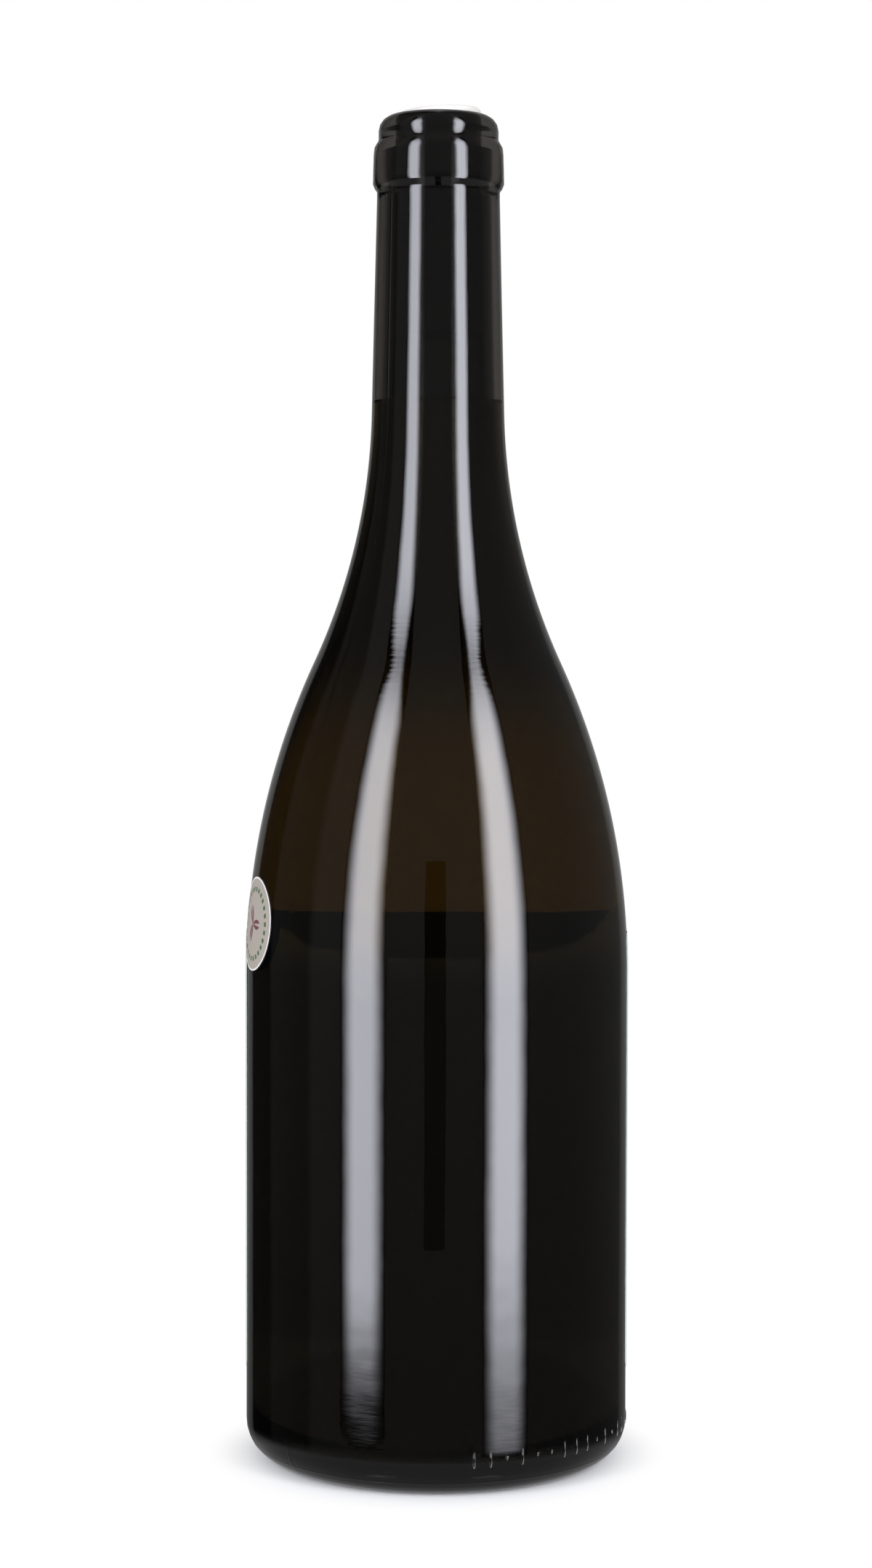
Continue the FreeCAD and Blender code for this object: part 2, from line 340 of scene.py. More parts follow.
class Nodes:
    """A small helper that adds and links nodes in one tree."""

    def __init__(self, tree: bpy.types.NodeTree) -> None:
        """Remember the tree."""
        self.tree = tree

    def add(self, kind: str, **values: object) -> bpy.types.Node:
        """Add a node and set its plain properties.

        Args:
            kind: the node's type.
            values: its properties, by name.

        Returns:
            The node.
        """
        node = self.tree.nodes.new(kind)
        for key, value in values.items():
            setattr(node, key, value)
        return node

    def link(self, source: bpy.types.NodeSocket, target: bpy.types.NodeSocket) -> None:
        """Join two sockets."""
        self.tree.links.new(source, target)

    def math(self, operation: str, first: object, second: object = None,
             third: object = None) -> bpy.types.NodeSocket:
        """A Math node on numbers or sockets.

        Args:
            operation: the node's operation.
            first: first number or socket.
            second: second number or socket, if the operation takes one.
            third: third number or socket, if the operation takes one.

        Returns:
            The node's output.
        """
        node = self.add("ShaderNodeMath", operation=operation)
        for socket, value in zip(node.inputs, (first, second, third)):
            if isinstance(value, bpy.types.NodeSocket):
                self.link(value, socket)
            elif value is not None:
                socket.default_value = value
        return node.outputs[0]

    def noise(self, where: bpy.types.NodeSocket, scale: float, detail: float = 3.0,
              roughness: float = 0.5) -> bpy.types.NodeSocket:
        """A Noise node's value at a place.

        Args:
            where: the place.
            scale: cells per metre.
            detail: number of finer layers.
            roughness: strength of each finer layer against the last.

        Returns:
            The value's socket.
        """
        node = self.add("ShaderNodeTexNoise")
        node.inputs["Scale"].default_value = scale
        node.inputs["Detail"].default_value = detail
        node.inputs["Roughness"].default_value = roughness
        self.link(where, node.inputs["Vector"])
        return node.outputs["Fac"]

    def ramp(self, value: bpy.types.NodeSocket,
             stops: list[tuple[float, tuple[float, float, float]]]) -> bpy.types.NodeSocket:
        """A colour ramp over the given stops.

        Args:
            value: the number that runs along the ramp.
            stops: (position, colour) pairs in rising order.

        Returns:
            The colour's socket.
        """
        node = self.add("ShaderNodeValToRGB")
        elements = node.color_ramp.elements
        while len(elements) < len(stops):
            elements.new(1.0)
        for element, (place, colour) in zip(elements, stops):
            element.position = place
            element.color = (*colour, 1.0)
        self.link(value, node.inputs["Fac"])
        return node.outputs["Color"]

    def mix(self, factor: object, first: object, second: object) -> bpy.types.NodeSocket:
        """A colour Mix node: first * (1 - factor) + second * factor.

        Args:
            factor: number or socket.
            first: colour or socket.
            second: colour or socket.

        Returns:
            The mixed colour's socket.
        """
        node = self.add("ShaderNodeMix", data_type="RGBA")
        for socket, value in zip((node.inputs[0], node.inputs[6], node.inputs[7]),
                                 (factor, first, second)):
            if isinstance(value, bpy.types.NodeSocket):
                self.link(value, socket)
            else:
                socket.default_value = value if socket == node.inputs[0] else (*value, 1.0)
        return node.outputs[2]

    def bump(self, height: bpy.types.NodeSocket, depth: float,
             before: bpy.types.NodeSocket | None = None) -> bpy.types.NodeSocket:
        """A Bump node.

        Args:
            height: the pattern, from 0 to 1.
            depth: the pattern's depth in metres.
            before: the normal of a bump that this one lies on.

        Returns:
            The normal's socket.
        """
        node = self.add("ShaderNodeBump")
        node.inputs["Strength"].default_value = 1.0
        node.inputs["Distance"].default_value = depth
        self.link(height, node.inputs["Height"])
        if before is not None:
            self.link(before, node.inputs["Normal"])
        return node.outputs["Normal"]


def new_material(name: str) -> tuple[bpy.types.Material, Nodes, bpy.types.Node]:
    """A material with one Principled shader.

    Args:
        name: the material's name.

    Returns:
        The material, its node helper and its shader.
    """
    material = bpy.data.materials.new(name)
    material.use_nodes = True
    nodes = Nodes(material.node_tree)
    return material, nodes, material.node_tree.nodes["Principled BSDF"]


def object_place(nodes: Nodes) -> bpy.types.NodeSocket:
    """The place on the object, in metres."""
    return nodes.add("ShaderNodeTexCoord").outputs["Object"]


def group_with(name: str, inputs: dict[str, float],
               outputs: dict[str, str]) -> tuple[bpy.types.NodeTree, Nodes]:
    """An empty shader node group with named sockets.

    Args:
        name: the group's name.
        inputs: number inputs and their usual values; a place input comes first.
        outputs: output names and their socket types.

    Returns:
        The group's tree and its node helper.
    """
    tree = bpy.data.node_groups.new(name, "ShaderNodeTree")
    tree.interface.new_socket("Place", in_out="INPUT", socket_type="NodeSocketVector")
    for label, value in inputs.items():
        socket = tree.interface.new_socket(label, in_out="INPUT",
                                           socket_type="NodeSocketFloat")
        socket.default_value = value
    for label, kind in outputs.items():
        tree.interface.new_socket(label, in_out="OUTPUT", socket_type=kind)
    return tree, Nodes(tree)


def scaled_noise(nodes: Nodes, place: bpy.types.NodeSocket, scale: bpy.types.NodeSocket,
                 detail: float) -> bpy.types.NodeSocket:
    """A Noise node whose scale comes from a group's input.

    Args:
        nodes: the group's node helper.
        place: the place that the pattern reads.
        scale: the input that gives cells per metre.
        detail: number of finer layers.

    Returns:
        The value's socket.
    """
    noise = nodes.add("ShaderNodeTexNoise")
    noise.inputs["Detail"].default_value = detail
    nodes.link(place, noise.inputs["Vector"])
    nodes.link(scale, noise.inputs["Scale"])
    return noise.outputs["Fac"]


def smudge_group() -> bpy.types.NodeTree:
    """Handling marks: soft blotches and fine scuffs, as one mask from 0 to 1.

    The mask is ((blotch - 0.45) * 3) * ((fine - 0.35) * 2), held between 0 and 1.

    Returns:
        The group's tree.
    """
    tree, nodes = group_with("smudge", {"Blotch Scale": 30.0, "Fine Scale": 900.0},
                             {"Mask": "NodeSocketFloat"})
    source = nodes.add("NodeGroupInput").outputs
    sink = nodes.add("NodeGroupOutput")
    blotch = scaled_noise(nodes, source["Place"], source["Blotch Scale"], 4.0)
    fine = scaled_noise(nodes, source["Place"], source["Fine Scale"], 2.0)
    blotch = nodes.math("MULTIPLY", nodes.math("SUBTRACT", blotch, 0.45), 3.0)
    fine = nodes.math("MULTIPLY", nodes.math("SUBTRACT", fine, 0.35), 2.0)
    total = nodes.add("ShaderNodeClamp")
    nodes.link(nodes.math("MULTIPLY", blotch, fine), total.inputs["Value"])
    nodes.link(total.outputs[0], sink.inputs["Mask"])
    return tree


def paper_group() -> bpy.types.NodeTree:
    """Paper fibre: a shade value near 1 and a height for the bump.

    The shade is 0.91 + 0.10 * fibre + 0.08 * cloud. The fibres lie along the bottle.

    Returns:
        The group's tree.
    """
    tree, nodes = group_with("paper_fibre", {"Fibre Scale": 2500.0, "Cloud Scale": 60.0},
                             {"Shade": "NodeSocketFloat", "Height": "NodeSocketFloat"})
    source = nodes.add("NodeGroupInput").outputs
    sink = nodes.add("NodeGroupOutput")
    drawn = nodes.add("ShaderNodeMapping")
    drawn.inputs["Scale"].default_value = (1.0, 1.0, 0.35)
    nodes.link(source["Place"], drawn.inputs["Vector"])
    fibre = scaled_noise(nodes, drawn.outputs["Vector"], source["Fibre Scale"], 3.0)
    cloud = scaled_noise(nodes, drawn.outputs["Vector"], source["Cloud Scale"], 5.0)
    shade = nodes.math("MULTIPLY_ADD", fibre, 0.10, 0.91)
    cloud = nodes.math("MULTIPLY_ADD", cloud, 0.08, 0.0)
    nodes.link(nodes.math("ADD", shade, cloud), sink.inputs["Shade"])
    nodes.link(fibre, sink.inputs["Height"])
    return tree


def use_group(nodes: Nodes, tree: bpy.types.NodeTree, place: bpy.types.NodeSocket,
              **values: float) -> bpy.types.Node:
    """Place a group in a material with its own values.

    Args:
        nodes: the material's node helper.
        tree: the group.
        place: the place that the group's patterns read.
        values: the group's inputs; an underscore stands for a space.

    Returns:
        The group's node.
    """
    node = nodes.add("ShaderNodeGroup", node_tree=tree)
    nodes.link(place, node.inputs["Place"])
    for key, value in values.items():
        node.inputs[key.replace("_", " ")].default_value = value
    return node


# --- the bottle ----------------------------------------------------------------------------


@dataclass(frozen=True)
class GlassSizes:
    """The glass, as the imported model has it."""

    body_radius: float = 42.2 * MM
    body_height: float = 107.4 * MM
    shoulder_rise: float = 122.7 * MM
    shoulder_bulge: float = 163.0 * MM
    neck_foot_radius: float = 14.6 * MM
    neck_top_radius: float = 13.45 * MM
    neck_length: float = 48.5 * MM
    heel_round: float = 8.0 * MM
    ring_radius: float = 14.4 * MM
    ring_top_radius: float = 14.2 * MM
    ring_under_rise: float = 1.8 * MM
    ring_side_rise: float = 6.8 * MM
    ring_top_rise: float = 2.1 * MM
    lip_radius: float = 13.15 * MM
    lip_height: float = 5.7 * MM
    lip_round: float = 3.4 * MM
    wall: float = 2.75 * MM
    inner_heel_round: float = 8.0 * MM
    base_thickness: float = 4.5 * MM
    punt_depth: float = 24.0 * MM
    rest_ring_width: float = 3.2 * MM
    bore_foot_radius: float = 10.3 * MM
    bore_low_radius: float = 9.9 * MM
    bore_mouth_radius: float = 9.25 * MM
    bore_seat_depth: float = 50.0 * MM

    @property
    def neck_foot(self) -> float:
        """Height of the foot of the neck."""
        return self.body_height + self.shoulder_rise

    @property
    def neck_top(self) -> float:
        """Height of the underside of the ring."""
        return self.neck_foot + self.neck_length

    @property
    def lip_foot(self) -> float:
        """Height of the step between ring and lip."""
        return self.neck_top + self.ring_under_rise + self.ring_side_rise + self.ring_top_rise

    @property
    def brim(self) -> float:
        """Height of the brim."""
        return self.lip_foot + self.lip_height


@dataclass
class Profiles:
    """The outlines of the glass, outside and inside."""

    sizes: GlassSizes = field(default_factory=GlassSizes)
    step: float = 0.4 * MM

    def foot(self) -> np.ndarray:
        """Under the base: punt, flat ring and heel, up to the straight body.

        Returns:
            Rows from the axis outwards.
        """
        s = self.sizes
        flat = s.body_radius - s.heel_round
        inner = flat - s.rest_ring_width
        return chain(dome_points(s.punt_depth, inner, 0.0, self.step),
                     line_points((inner, 0.0), (flat, 0.0), self.step),
                     arc_points((flat, s.heel_round), s.heel_round, -math.pi / 2.0, 0.0,
                                self.step))

    def wall_out(self) -> np.ndarray:
        """The straight body and the shoulder up to the foot of the neck.

        Returns:
            Rows from the heel upwards.
        """
        s = self.sizes
        start = (s.body_radius, s.body_height)
        shoulder = shoulder_points(start, s.shoulder_bulge, (s.neck_foot_radius, s.neck_foot),
                                   (s.neck_top_radius, s.neck_top), self.step)
        body = line_points((start[0], s.heel_round), start, self.step)
        return chain(body, shoulder)

    def finish(self) -> np.ndarray:
        """Neck, ring and lip, up to the inner edge of the brim.

        Returns:
            Rows from the foot of the neck upwards.
        """
        s = self.sizes
        ring_foot = s.neck_top + s.ring_under_rise
        ring_side = ring_foot + s.ring_side_rise
        lip_side = s.brim - s.lip_round
        flat = s.lip_radius - s.lip_round
        return chain(
            line_points((s.neck_foot_radius, s.neck_foot), (s.neck_top_radius, s.neck_top),
                        self.step),
            self.upright_arc((s.ring_radius, ring_foot), (s.neck_top_radius, s.neck_top), True),
            line_points((s.ring_radius, ring_foot), (s.ring_top_radius, ring_side), self.step),
            self.upright_arc((s.ring_top_radius, ring_side), (s.lip_radius, s.lip_foot), False),
            line_points((s.lip_radius, s.lip_foot), (s.lip_radius, lip_side), self.step),
            arc_points((flat, lip_side), s.lip_round, 0.0, math.pi / 2.0, self.step),
            line_points((flat, s.brim), (s.bore_mouth_radius, s.brim), self.step))

    def upright_arc(self, upright: tuple[float, float], far: tuple[float, float],
                    to_upright: bool) -> np.ndarray:
        """An arc that is upright at one point and meets another point.

        Its radius is (a^2 + h^2) / 2a, with a and h the distances across and up between
        the two points.

        Args:
            upright: the point where the arc is upright.
            far: the other point.
            to_upright: whether the arc runs towards the upright point.

        Returns:
            Rows along the arc.
        """
        across = upright[0] - far[0]
        rise = upright[1] - far[1]
        radius = (across ** 2 + rise ** 2) / (2.0 * across)
        centre = (upright[0] - radius, upright[1])
        other = math.atan2(far[1] - centre[1], far[0] - centre[0])
        first, last = (other, 0.0) if to_upright else (0.0, other)
        return arc_points(centre, radius, first, last, self.step)

    def inside(self, sink: float = 0.0) -> np.ndarray:
        """The cavity from its lowest point on the axis up to the brim.

        Args:
            sink: how far the outline is moved into the glass.

        Returns:
            Rows from the axis up to the brim.
        """
        s = self.sizes
        radius = s.body_radius - s.wall
        valley = radius - s.inner_heel_round
        heel_top = s.base_thickness + s.inner_heel_round
        seat = s.brim - s.bore_seat_depth
        floor = s.base_thickness - sink
        return chain(
            dome_points(s.punt_depth + floor, valley, floor, self.step),
            arc_points((valley, heel_top), s.inner_heel_round + sink, -math.pi / 2.0, 0.0,
                       self.step),
            line_points((radius + sink, heel_top), (radius + sink, s.body_height), self.step),
            shoulder_points((radius + sink, s.body_height), s.shoulder_bulge - s.wall + sink,
                            (s.bore_foot_radius + sink, s.neck_foot),
                            (s.bore_low_radius + sink, seat), self.step),
            line_points((s.bore_foot_radius + sink, s.neck_foot),
                        (s.bore_low_radius + sink, seat), self.step),
            line_points((s.bore_low_radius + sink, seat), (s.bore_mouth_radius + sink, s.brim),
                        self.step))

    def glass(self) -> np.ndarray:
        """The whole glass: from the punt outside, over the brim, down to the cavity's floor."""
        return chain(self.foot(), self.wall_out(), self.finish(), self.inside()[::-1])

    def radius_at(self, height: np.ndarray) -> np.ndarray:
        """Outside radius of the heel, body and shoulder at a height."""
        upright = chain(self.foot()[-30:], self.wall_out())
        return np.interp(height, upright[:, 1], upright[:, 0])


@dataclass(frozen=True)
class GlassFinish:
    """Dark brown glass, tinted at each surface, with faint ripples from the mould and painted
    shade in its tint.
    """

    # Painted shade: the tint is darker below the label's top, for the shade behind the label, and
    # from the upper shoulder up, for the glow fading there; in the base and the neck it also
    # stands for their thicker glass.
    unshaded_tint: tuple[float, float, float] = (0.136, 0.103, 0.046)
    painted_shade_tint: tuple[float, float, float] = (0.050, 0.046, 0.042)
    label_shade_heights: tuple[float, float] = (108.0 * MM, 120.0 * MM)
    shoulder_shade_heights: tuple[float, float] = (150.0 * MM, 182.0 * MM)
    roughness: float = 0.012
    smudge_roughness: float = 0.05
    blotch_scale: float = 26.0
    fine_scale: float = 700.0
    ior: float = 1.52
    ripple_scale: float = 75.0
    ripple_depth: float = 0.045 * MM
    wrinkle_scale: float = 230.0
    wrinkle_depth: float = 0.013 * MM
    wrinkle_squeeze: float = 6.0
    wrinkle_near_base: float = 0.3
    wrinkle_ends: tuple[tuple[float, float], ...] = ((46.0 * MM, 0.0 * MM),
                                                     (162.0 * MM, 174.0 * MM),
                                                     (196.0 * MM, 182.0 * MM))
    streak_scale: float = 900.0
    streak_depth: float = 0.009 * MM
    streak_squeeze: float = 0.07
    streak_foot: tuple[float, float] = (232.0 * MM, 250.0 * MM)

    def build(self, smudge: bpy.types.NodeTree) -> bpy.types.Material:
        """Make the material; the tint is darker low and high, where it carries painted shade.

        Args:
            smudge: the group of handling marks.

        Returns:
            The material.
        """
        material, nodes, shader = new_material("dark_glass")
        place = object_place(nodes)
        height = nodes.add("ShaderNodeSeparateXYZ")
        nodes.link(place, height.inputs[0])
        # Painted shade: thin is the share of the unshaded tint, cut off below the label's top and
        # over the upper shoulder and neck.
        above_label_shade = self.stretch(nodes, height.outputs[2], *self.label_shade_heights)
        into_shoulder_shade = self.stretch(nodes, height.outputs[2], *self.shoulder_shade_heights)
        thin = nodes.math("MULTIPLY", above_label_shade, nodes.math("SUBTRACT", 1.0, into_shoulder_shade))
        nodes.link(nodes.mix(thin, self.painted_shade_tint, self.unshaded_tint),
                   shader.inputs["Base Color"])
        mark = use_group(nodes, smudge, place, Blotch_Scale=self.blotch_scale,
                         Fine_Scale=self.fine_scale)
        rough = nodes.math("MULTIPLY_ADD", mark.outputs["Mask"], self.smudge_roughness,
                           self.roughness)
        nodes.link(rough, shader.inputs["Roughness"])
        shader.inputs["IOR"].default_value = self.ior
        shader.inputs["Transmission Weight"].default_value = 1.0
        ripple = nodes.bump(nodes.noise(place, self.ripple_scale, 2.0), self.ripple_depth)
        foot, rise, fall = (self.stretch(nodes, height.outputs[2], *ends)
                         for ends in self.wrinkle_ends)
        where = nodes.math("MULTIPLY_ADD", foot, self.wrinkle_near_base,
                           nodes.math("MULTIPLY", rise, fall))
        wrinkle = nodes.math("MULTIPLY", self.drawn_noise(nodes, place, self.wrinkle_scale,
                                                          self.wrinkle_squeeze), where)
        normal = nodes.bump(wrinkle, self.wrinkle_depth, ripple)
        neck = self.stretch(nodes, height.outputs[2], *self.streak_foot)
        streak = nodes.math("MULTIPLY", self.drawn_noise(nodes, place, self.streak_scale,
                                                         self.streak_squeeze), neck)
        nodes.link(nodes.bump(streak, self.streak_depth, normal), shader.inputs["Normal"])
        return material

    @staticmethod
    def drawn_noise(nodes: Nodes, place: bpy.types.NodeSocket, scale: float,
                    squeeze: float) -> bpy.types.NodeSocket:
        """Noise squeezed along the bottle's axis.

        Args:
            nodes: the material's node helper.
            place: the place that the pattern reads.
            scale: cells per metre across the bottle.
            squeeze: how much closer the cells lie upwards; below 1 they are drawn out.

        Returns:
            The value's socket.
        """
        mapping = nodes.add("ShaderNodeMapping")
        mapping.inputs["Scale"].default_value = (1.0, 1.0, squeeze)
        nodes.link(place, mapping.inputs["Vector"])
        return nodes.noise(mapping.outputs["Vector"], scale, 2.0)

    @staticmethod
    def stretch(nodes: Nodes, value: bpy.types.NodeSocket, low: float,
                high: float) -> bpy.types.NodeSocket:
        """Map low..high to 0..1, smoothly, and hold it there.

        Args:
            nodes: the node helper.
            value: the number to map.
            low: the value that gives 0; it may lie above high.
            high: the value that gives 1.

        Returns:
            The mapped value's socket.
        """
        node = nodes.add("ShaderNodeMapRange", interpolation_type="SMOOTHSTEP")
        nodes.link(value, node.inputs["Value"])
        node.inputs["From Min"].default_value = low
        node.inputs["From Max"].default_value = high
        return node.outputs[0]


@dataclass
class Glass:
    """The blown glass with its mould seams and its row of raised marks on the heel."""

    profiles: Profiles
    rows: int = 375
    columns: int = 240
    corner_ease: float = 0.22 * MM
    seam_angle: float = math.radians(-48.8)
    seam_height: float = 0.07 * MM
    seam_width: float = 0.22 * MM
    seam_columns: tuple[float, ...] = (-0.9, -0.5, -0.25, 0.0, 0.25, 0.5, 0.9)
    seam_foot: float = 1.2 * MM
    base_seam_height: float = 3.4 * MM
    base_seam_reach: float = 0.8 * MM
    wave: float = 0.05 * MM
    wave_fade: tuple[float, float] = (6.0 * MM, 16.0 * MM)
    bend_weight: float = 0.0022
    mark_height: float = 8.7 * MM
    mark_start: float = math.radians(11.0)
    mark_pitch: float = math.radians(74.0 / 15.0)
    mark_half: tuple[float, float, float] = (0.40 * MM, 0.60 * MM, 2.0 * MM)
    mark_relief: float = 0.17 * MM
    dot_share: float = 1.4
    mark_rounding: tuple[float, float] = (0.6, 0.8)
    mark_rows: int = 11
    mark_columns: int = 12
    mark_row: tuple[int, ...] = (1, 1, 0, 1, 0, 0, 1, 1, 1, 0, 1, 0, 1, 1, 0, 1)

    def angles(self) -> np.ndarray:
        """Columns all round, with extra ones across the two mould seams.

        Returns:
            The columns' angles, rising through one turn.
        """
        seams = self.seam_angle + np.array((0.0, math.pi))
        across = np.radians(self.seam_columns)
        extra = (seams[:, None] + across).ravel()
        return np.unique(np.round(np.mod(np.concatenate((even_turn(self.columns), extra)),
                                         2.0 * math.pi), 6))

    def relief(self, profile: np.ndarray, angles: np.ndarray) -> np.ndarray:
        """Seams and a slight unevenness on the outside, as distance from the axis.

        Each seam is a ridge h * exp(-(d / w)^2), with d the distance from the seam. The
        unevenness is a sum of slow cosines and only ever goes inwards.

        Args:
            profile: the glass's rows, with a pole at each end.
            angles: the columns' angles.

        Returns:
            One value for each row between the poles and each column.
        """
        s = self.profiles.sizes
        radius, height = profile[1:-1, :1], profile[1:-1, 1:]
        top_row = int(np.argmax(profile[1:-1, 1]))
        outside = (np.arange(len(radius)) <= top_row)[:, None]
        upright = outside & (height > self.seam_foot) & (height < s.neck_top)
        away = np.angle(np.exp(2j * (angles - self.seam_angle))) / 2.0 * radius
        seam = self.seam_height * np.exp(-(away / self.seam_width) ** 2) * upright
        rise = (height - self.base_seam_height) / (1.2 * self.seam_width)
        low = outside & (radius > s.body_radius - s.heel_round)
        ring = 0.8 * self.seam_height * np.exp(-rise ** 2) * low
        slow = (np.cos(3.0 * angles + 31.0 * height) * np.cos(47.0 * height + 0.6)
                + np.cos(5.0 * angles - 60.0 * height + 1.0) * 0.5)
        start, end = self.wave_fade
        fade = np.clip((height - start) / (end - start), 0.0, 1.0)
        uneven = -self.wave * (1.5 + slow) / 3.0 * upright * fade
        return seam + ring + uneven

    def marks_mesh(self) -> bpy.types.Mesh:
        """Two opposite rows of beads: ellipsoids (a sin u cos v, b sin u sin v, c cos u).

        The beads lean with the heel, and powers of their sines and cosines square them off.
        A dot is about as tall as it is wide.

        Returns:
            One mesh of all the beads.
        """
        s = self.profiles.sizes
        count = len(self.mark_row)
        turn = self.mark_start + self.mark_pitch * np.arange(count)
        turn = np.concatenate((turn, turn + math.pi))
        tall = np.tile(np.asarray(self.mark_row, dtype=float), 2)
        half_across, half_out, half_tall = self.mark_half
        half_up = np.where(tall > 0.0, half_tall, self.dot_share * half_across)
        u = np.linspace(0.0, math.pi, self.mark_rows)[:, None]
        v = np.linspace(0.0, 2.0 * math.pi, self.mark_columns, endpoint=False)
        blunt, square = self.mark_rounding
        side = half_across * np.sign(np.cos(v)) * np.abs(np.cos(v)) ** square
        across = np.sin(u) ** blunt * side
        out = np.sin(u) ** blunt * half_out * np.sin(v)
        up = np.cos(u) * half_up[:, None, None] * np.ones_like(v)
        lean = math.asin(max(0.0, s.heel_round - self.mark_height) / s.heel_round)
        sink = half_out - self.mark_relief
        reach = float(self.profiles.radius_at(np.array(self.mark_height))) - sink
        radial = reach + out * math.cos(lean) + up * math.sin(lean)
        height = self.mark_height + up * math.cos(lean) - out * math.sin(lean)
        sideways = across + 0.0 * up
        turn = turn[:, None, None]
        x = radial * np.sin(turn) + sideways * np.cos(turn)
        y = -radial * np.cos(turn) + sideways * np.sin(turn)
        points = np.stack((x, y, height), axis=-1)
        return self.bead_faces(points)

    @staticmethod
    def bead_faces(points: np.ndarray) -> bpy.types.Mesh:
        """Join beads into one mesh.

        Args:
            points: a (bead, row, column, 3) grid whose end rows are poles.

        Returns:
            The mesh, with each pole kept as a single point.
        """
        beads, rows, columns = points.shape[:3]
        number = np.arange(beads * rows * columns).reshape(beads, rows, columns)
        beside = np.roll(number, -1, axis=2)
        quads = np.stack((number[:, 1:-2], number[:, 2:-1], beside[:, 2:-1],
                          beside[:, 1:-2]), axis=-1).reshape(-1, 4)
        top = np.stack((number[:, :1, :1] + 0 * number[:, 1:2], number[:, 1:2],
                        beside[:, 1:2]), axis=-1).reshape(-1, 3)
        bottom = np.stack((number[:, -2:-1], number[:, -1:, :1] + 0 * number[:, -2:-1],
                           beside[:, -2:-1]), axis=-1).reshape(-1, 3)
        flat = points.reshape(-1, 3)
        used, index = np.unique(np.concatenate((quads.ravel(), top.ravel(), bottom.ravel())),
                                return_inverse=True)
        quads = index[:quads.size].reshape(-1, 4)
        triangles = index[quads.size:].reshape(-1, 3)
        return fill_mesh("heel_marks", flat[used], quads, triangles)

    def build(self, material: bpy.types.Material) -> None:
        """Add the glass and its marks.

        Args:
            material: the glass.
        """
        fine = ease_corners(self.profiles.glass(), self.corner_ease, 0.05 * MM)
        profile = place_rows(fine, self.rows, self.bend_weight,
                             (self.base_seam_height, self.base_seam_reach))
        angles = self.angles()
        mesh = turned_mesh("glass_shell", profile, angles, self.relief(profile, angles))
        add_piece("glass_shell", mesh, material, Slot.GLASS, "bottle")
        add_piece("heel_marks", self.marks_mesh(), material, Slot.GLASS)


# --- contents and stopper ------------------------------------------------------------------


@dataclass(frozen=True)
class WineFinish:
    """Pale wine, clear but for a faint cloudiness in its tint."""

    tint: tuple[float, float, float] = (0.92, 0.80, 0.48)
    cloud_scale: float = 18.0
    cloud_shade: float = 0.9
    ior: float = 1.343

    def build(self) -> bpy.types.Material:
        """Make the material.

        Returns:
            The material.
        """
        material, nodes, shader = new_material("pale_wine")
        cloud = nodes.noise(object_place(nodes), self.cloud_scale, 2.0)
        deep = tuple(self.cloud_shade * value for value in self.tint)
        nodes.link(nodes.mix(cloud, self.tint, deep), shader.inputs["Base Color"])
        shader.inputs["Roughness"].default_value = 0.0
        shader.inputs["IOR"].default_value = self.ior
        shader.inputs["Transmission Weight"].default_value = 1.0
        return material


@dataclass
class Wine:
    """The wine, up to its level in the neck, with a meniscus at the glass."""

    profiles: Profiles
    depth: float = 63.3 * MM
    sink: float = 0.12 * MM
    creep: float = 1.6 * MM
    creep_width: float = 1.3 * MM
    nearest: float = 0.02 * MM
    surface_rows: int = 40
    rows: int = 260
    columns: int = 160
    bend_weight: float = 0.0015

    def profile(self) -> np.ndarray:
        """The cavity's outline, just into the wall, closed by the curved surface.

        The surface stands creep * exp(-d / width) above the level at a distance d
        from the glass.

        Returns:
            Rows from the bottom on the axis to the surface on the axis.
        """
        level = self.profiles.sizes.brim - self.depth
        inside = self.profiles.inside(self.sink)
        below = inside[inside[:, 1] < level + self.creep]
        below = below[:int(np.argmax(below[:, 1])) + 1]
        edge = below[-1, 0]
        reach = edge - np.geomspace(self.nearest, edge, self.surface_rows)
        reach[-1] = 0.0
        height = level + self.creep * np.exp(-(edge - reach) / self.creep_width)
        return chain(below, np.column_stack((reach, height)))

    def build(self, material: bpy.types.Material) -> None:
        """Add the wine.

        Args:
            material: the wine's finish.
        """
        profile = place_rows(self.profile(), self.rows, self.bend_weight)
        profile[0, 0] = profile[-1, 0] = 0.0
        mesh = turned_mesh("wine_body", profile, even_turn(self.columns))
        add_piece("wine_body", mesh, material, Slot.WINE, "wine")


@dataclass(frozen=True)
class StopperFinish:
    """A pale moulded stopper: satin, finely pitted, faintly stained."""

    colour: tuple[float, float, float] = (0.70, 0.67, 0.63)
    shade: tuple[float, float, float] = (0.50, 0.47, 0.43)
    roughness: float = 0.42
    smudge_roughness: float = 0.2
    pit_scale: float = 1400.0
    pit_depth: float = 0.05 * MM
    stain_scale: float = 160.0
    stain_amount: float = 1.4
    blotch_scale: float = 90.0
    fine_scale: float = 1500.0
    ior: float = 1.49

    def build(self, smudge: bpy.types.NodeTree) -> bpy.types.Material:
        """Make the material from pores, soft stains and handling marks.

        Args:
            smudge: the group of handling marks.

        Returns:
            The material.
        """
        material, nodes, shader = new_material("pale_stopper")
        place = object_place(nodes)
        pits = nodes.add("ShaderNodeTexVoronoi", feature="SMOOTH_F1")
        pits.inputs["Scale"].default_value = self.pit_scale
        nodes.link(place, pits.inputs["Vector"])
        stain = nodes.noise(place, self.stain_scale, 4.0, 0.6)
        dark = nodes.math("MULTIPLY", nodes.math("POWER", stain, 3.0), self.stain_amount)
        nodes.link(nodes.mix(dark, self.colour, self.shade), shader.inputs["Base Color"])
        mark = use_group(nodes, smudge, place, Blotch_Scale=self.blotch_scale,
                         Fine_Scale=self.fine_scale)
        rough = nodes.math("MULTIPLY_ADD", mark.outputs["Mask"], self.smudge_roughness,
                           self.roughness)
        nodes.link(rough, shader.inputs["Roughness"])
        nodes.link(nodes.bump(pits.outputs["Distance"], self.pit_depth),
                   shader.inputs["Normal"])
        shader.inputs["IOR"].default_value = self.ior
        return material


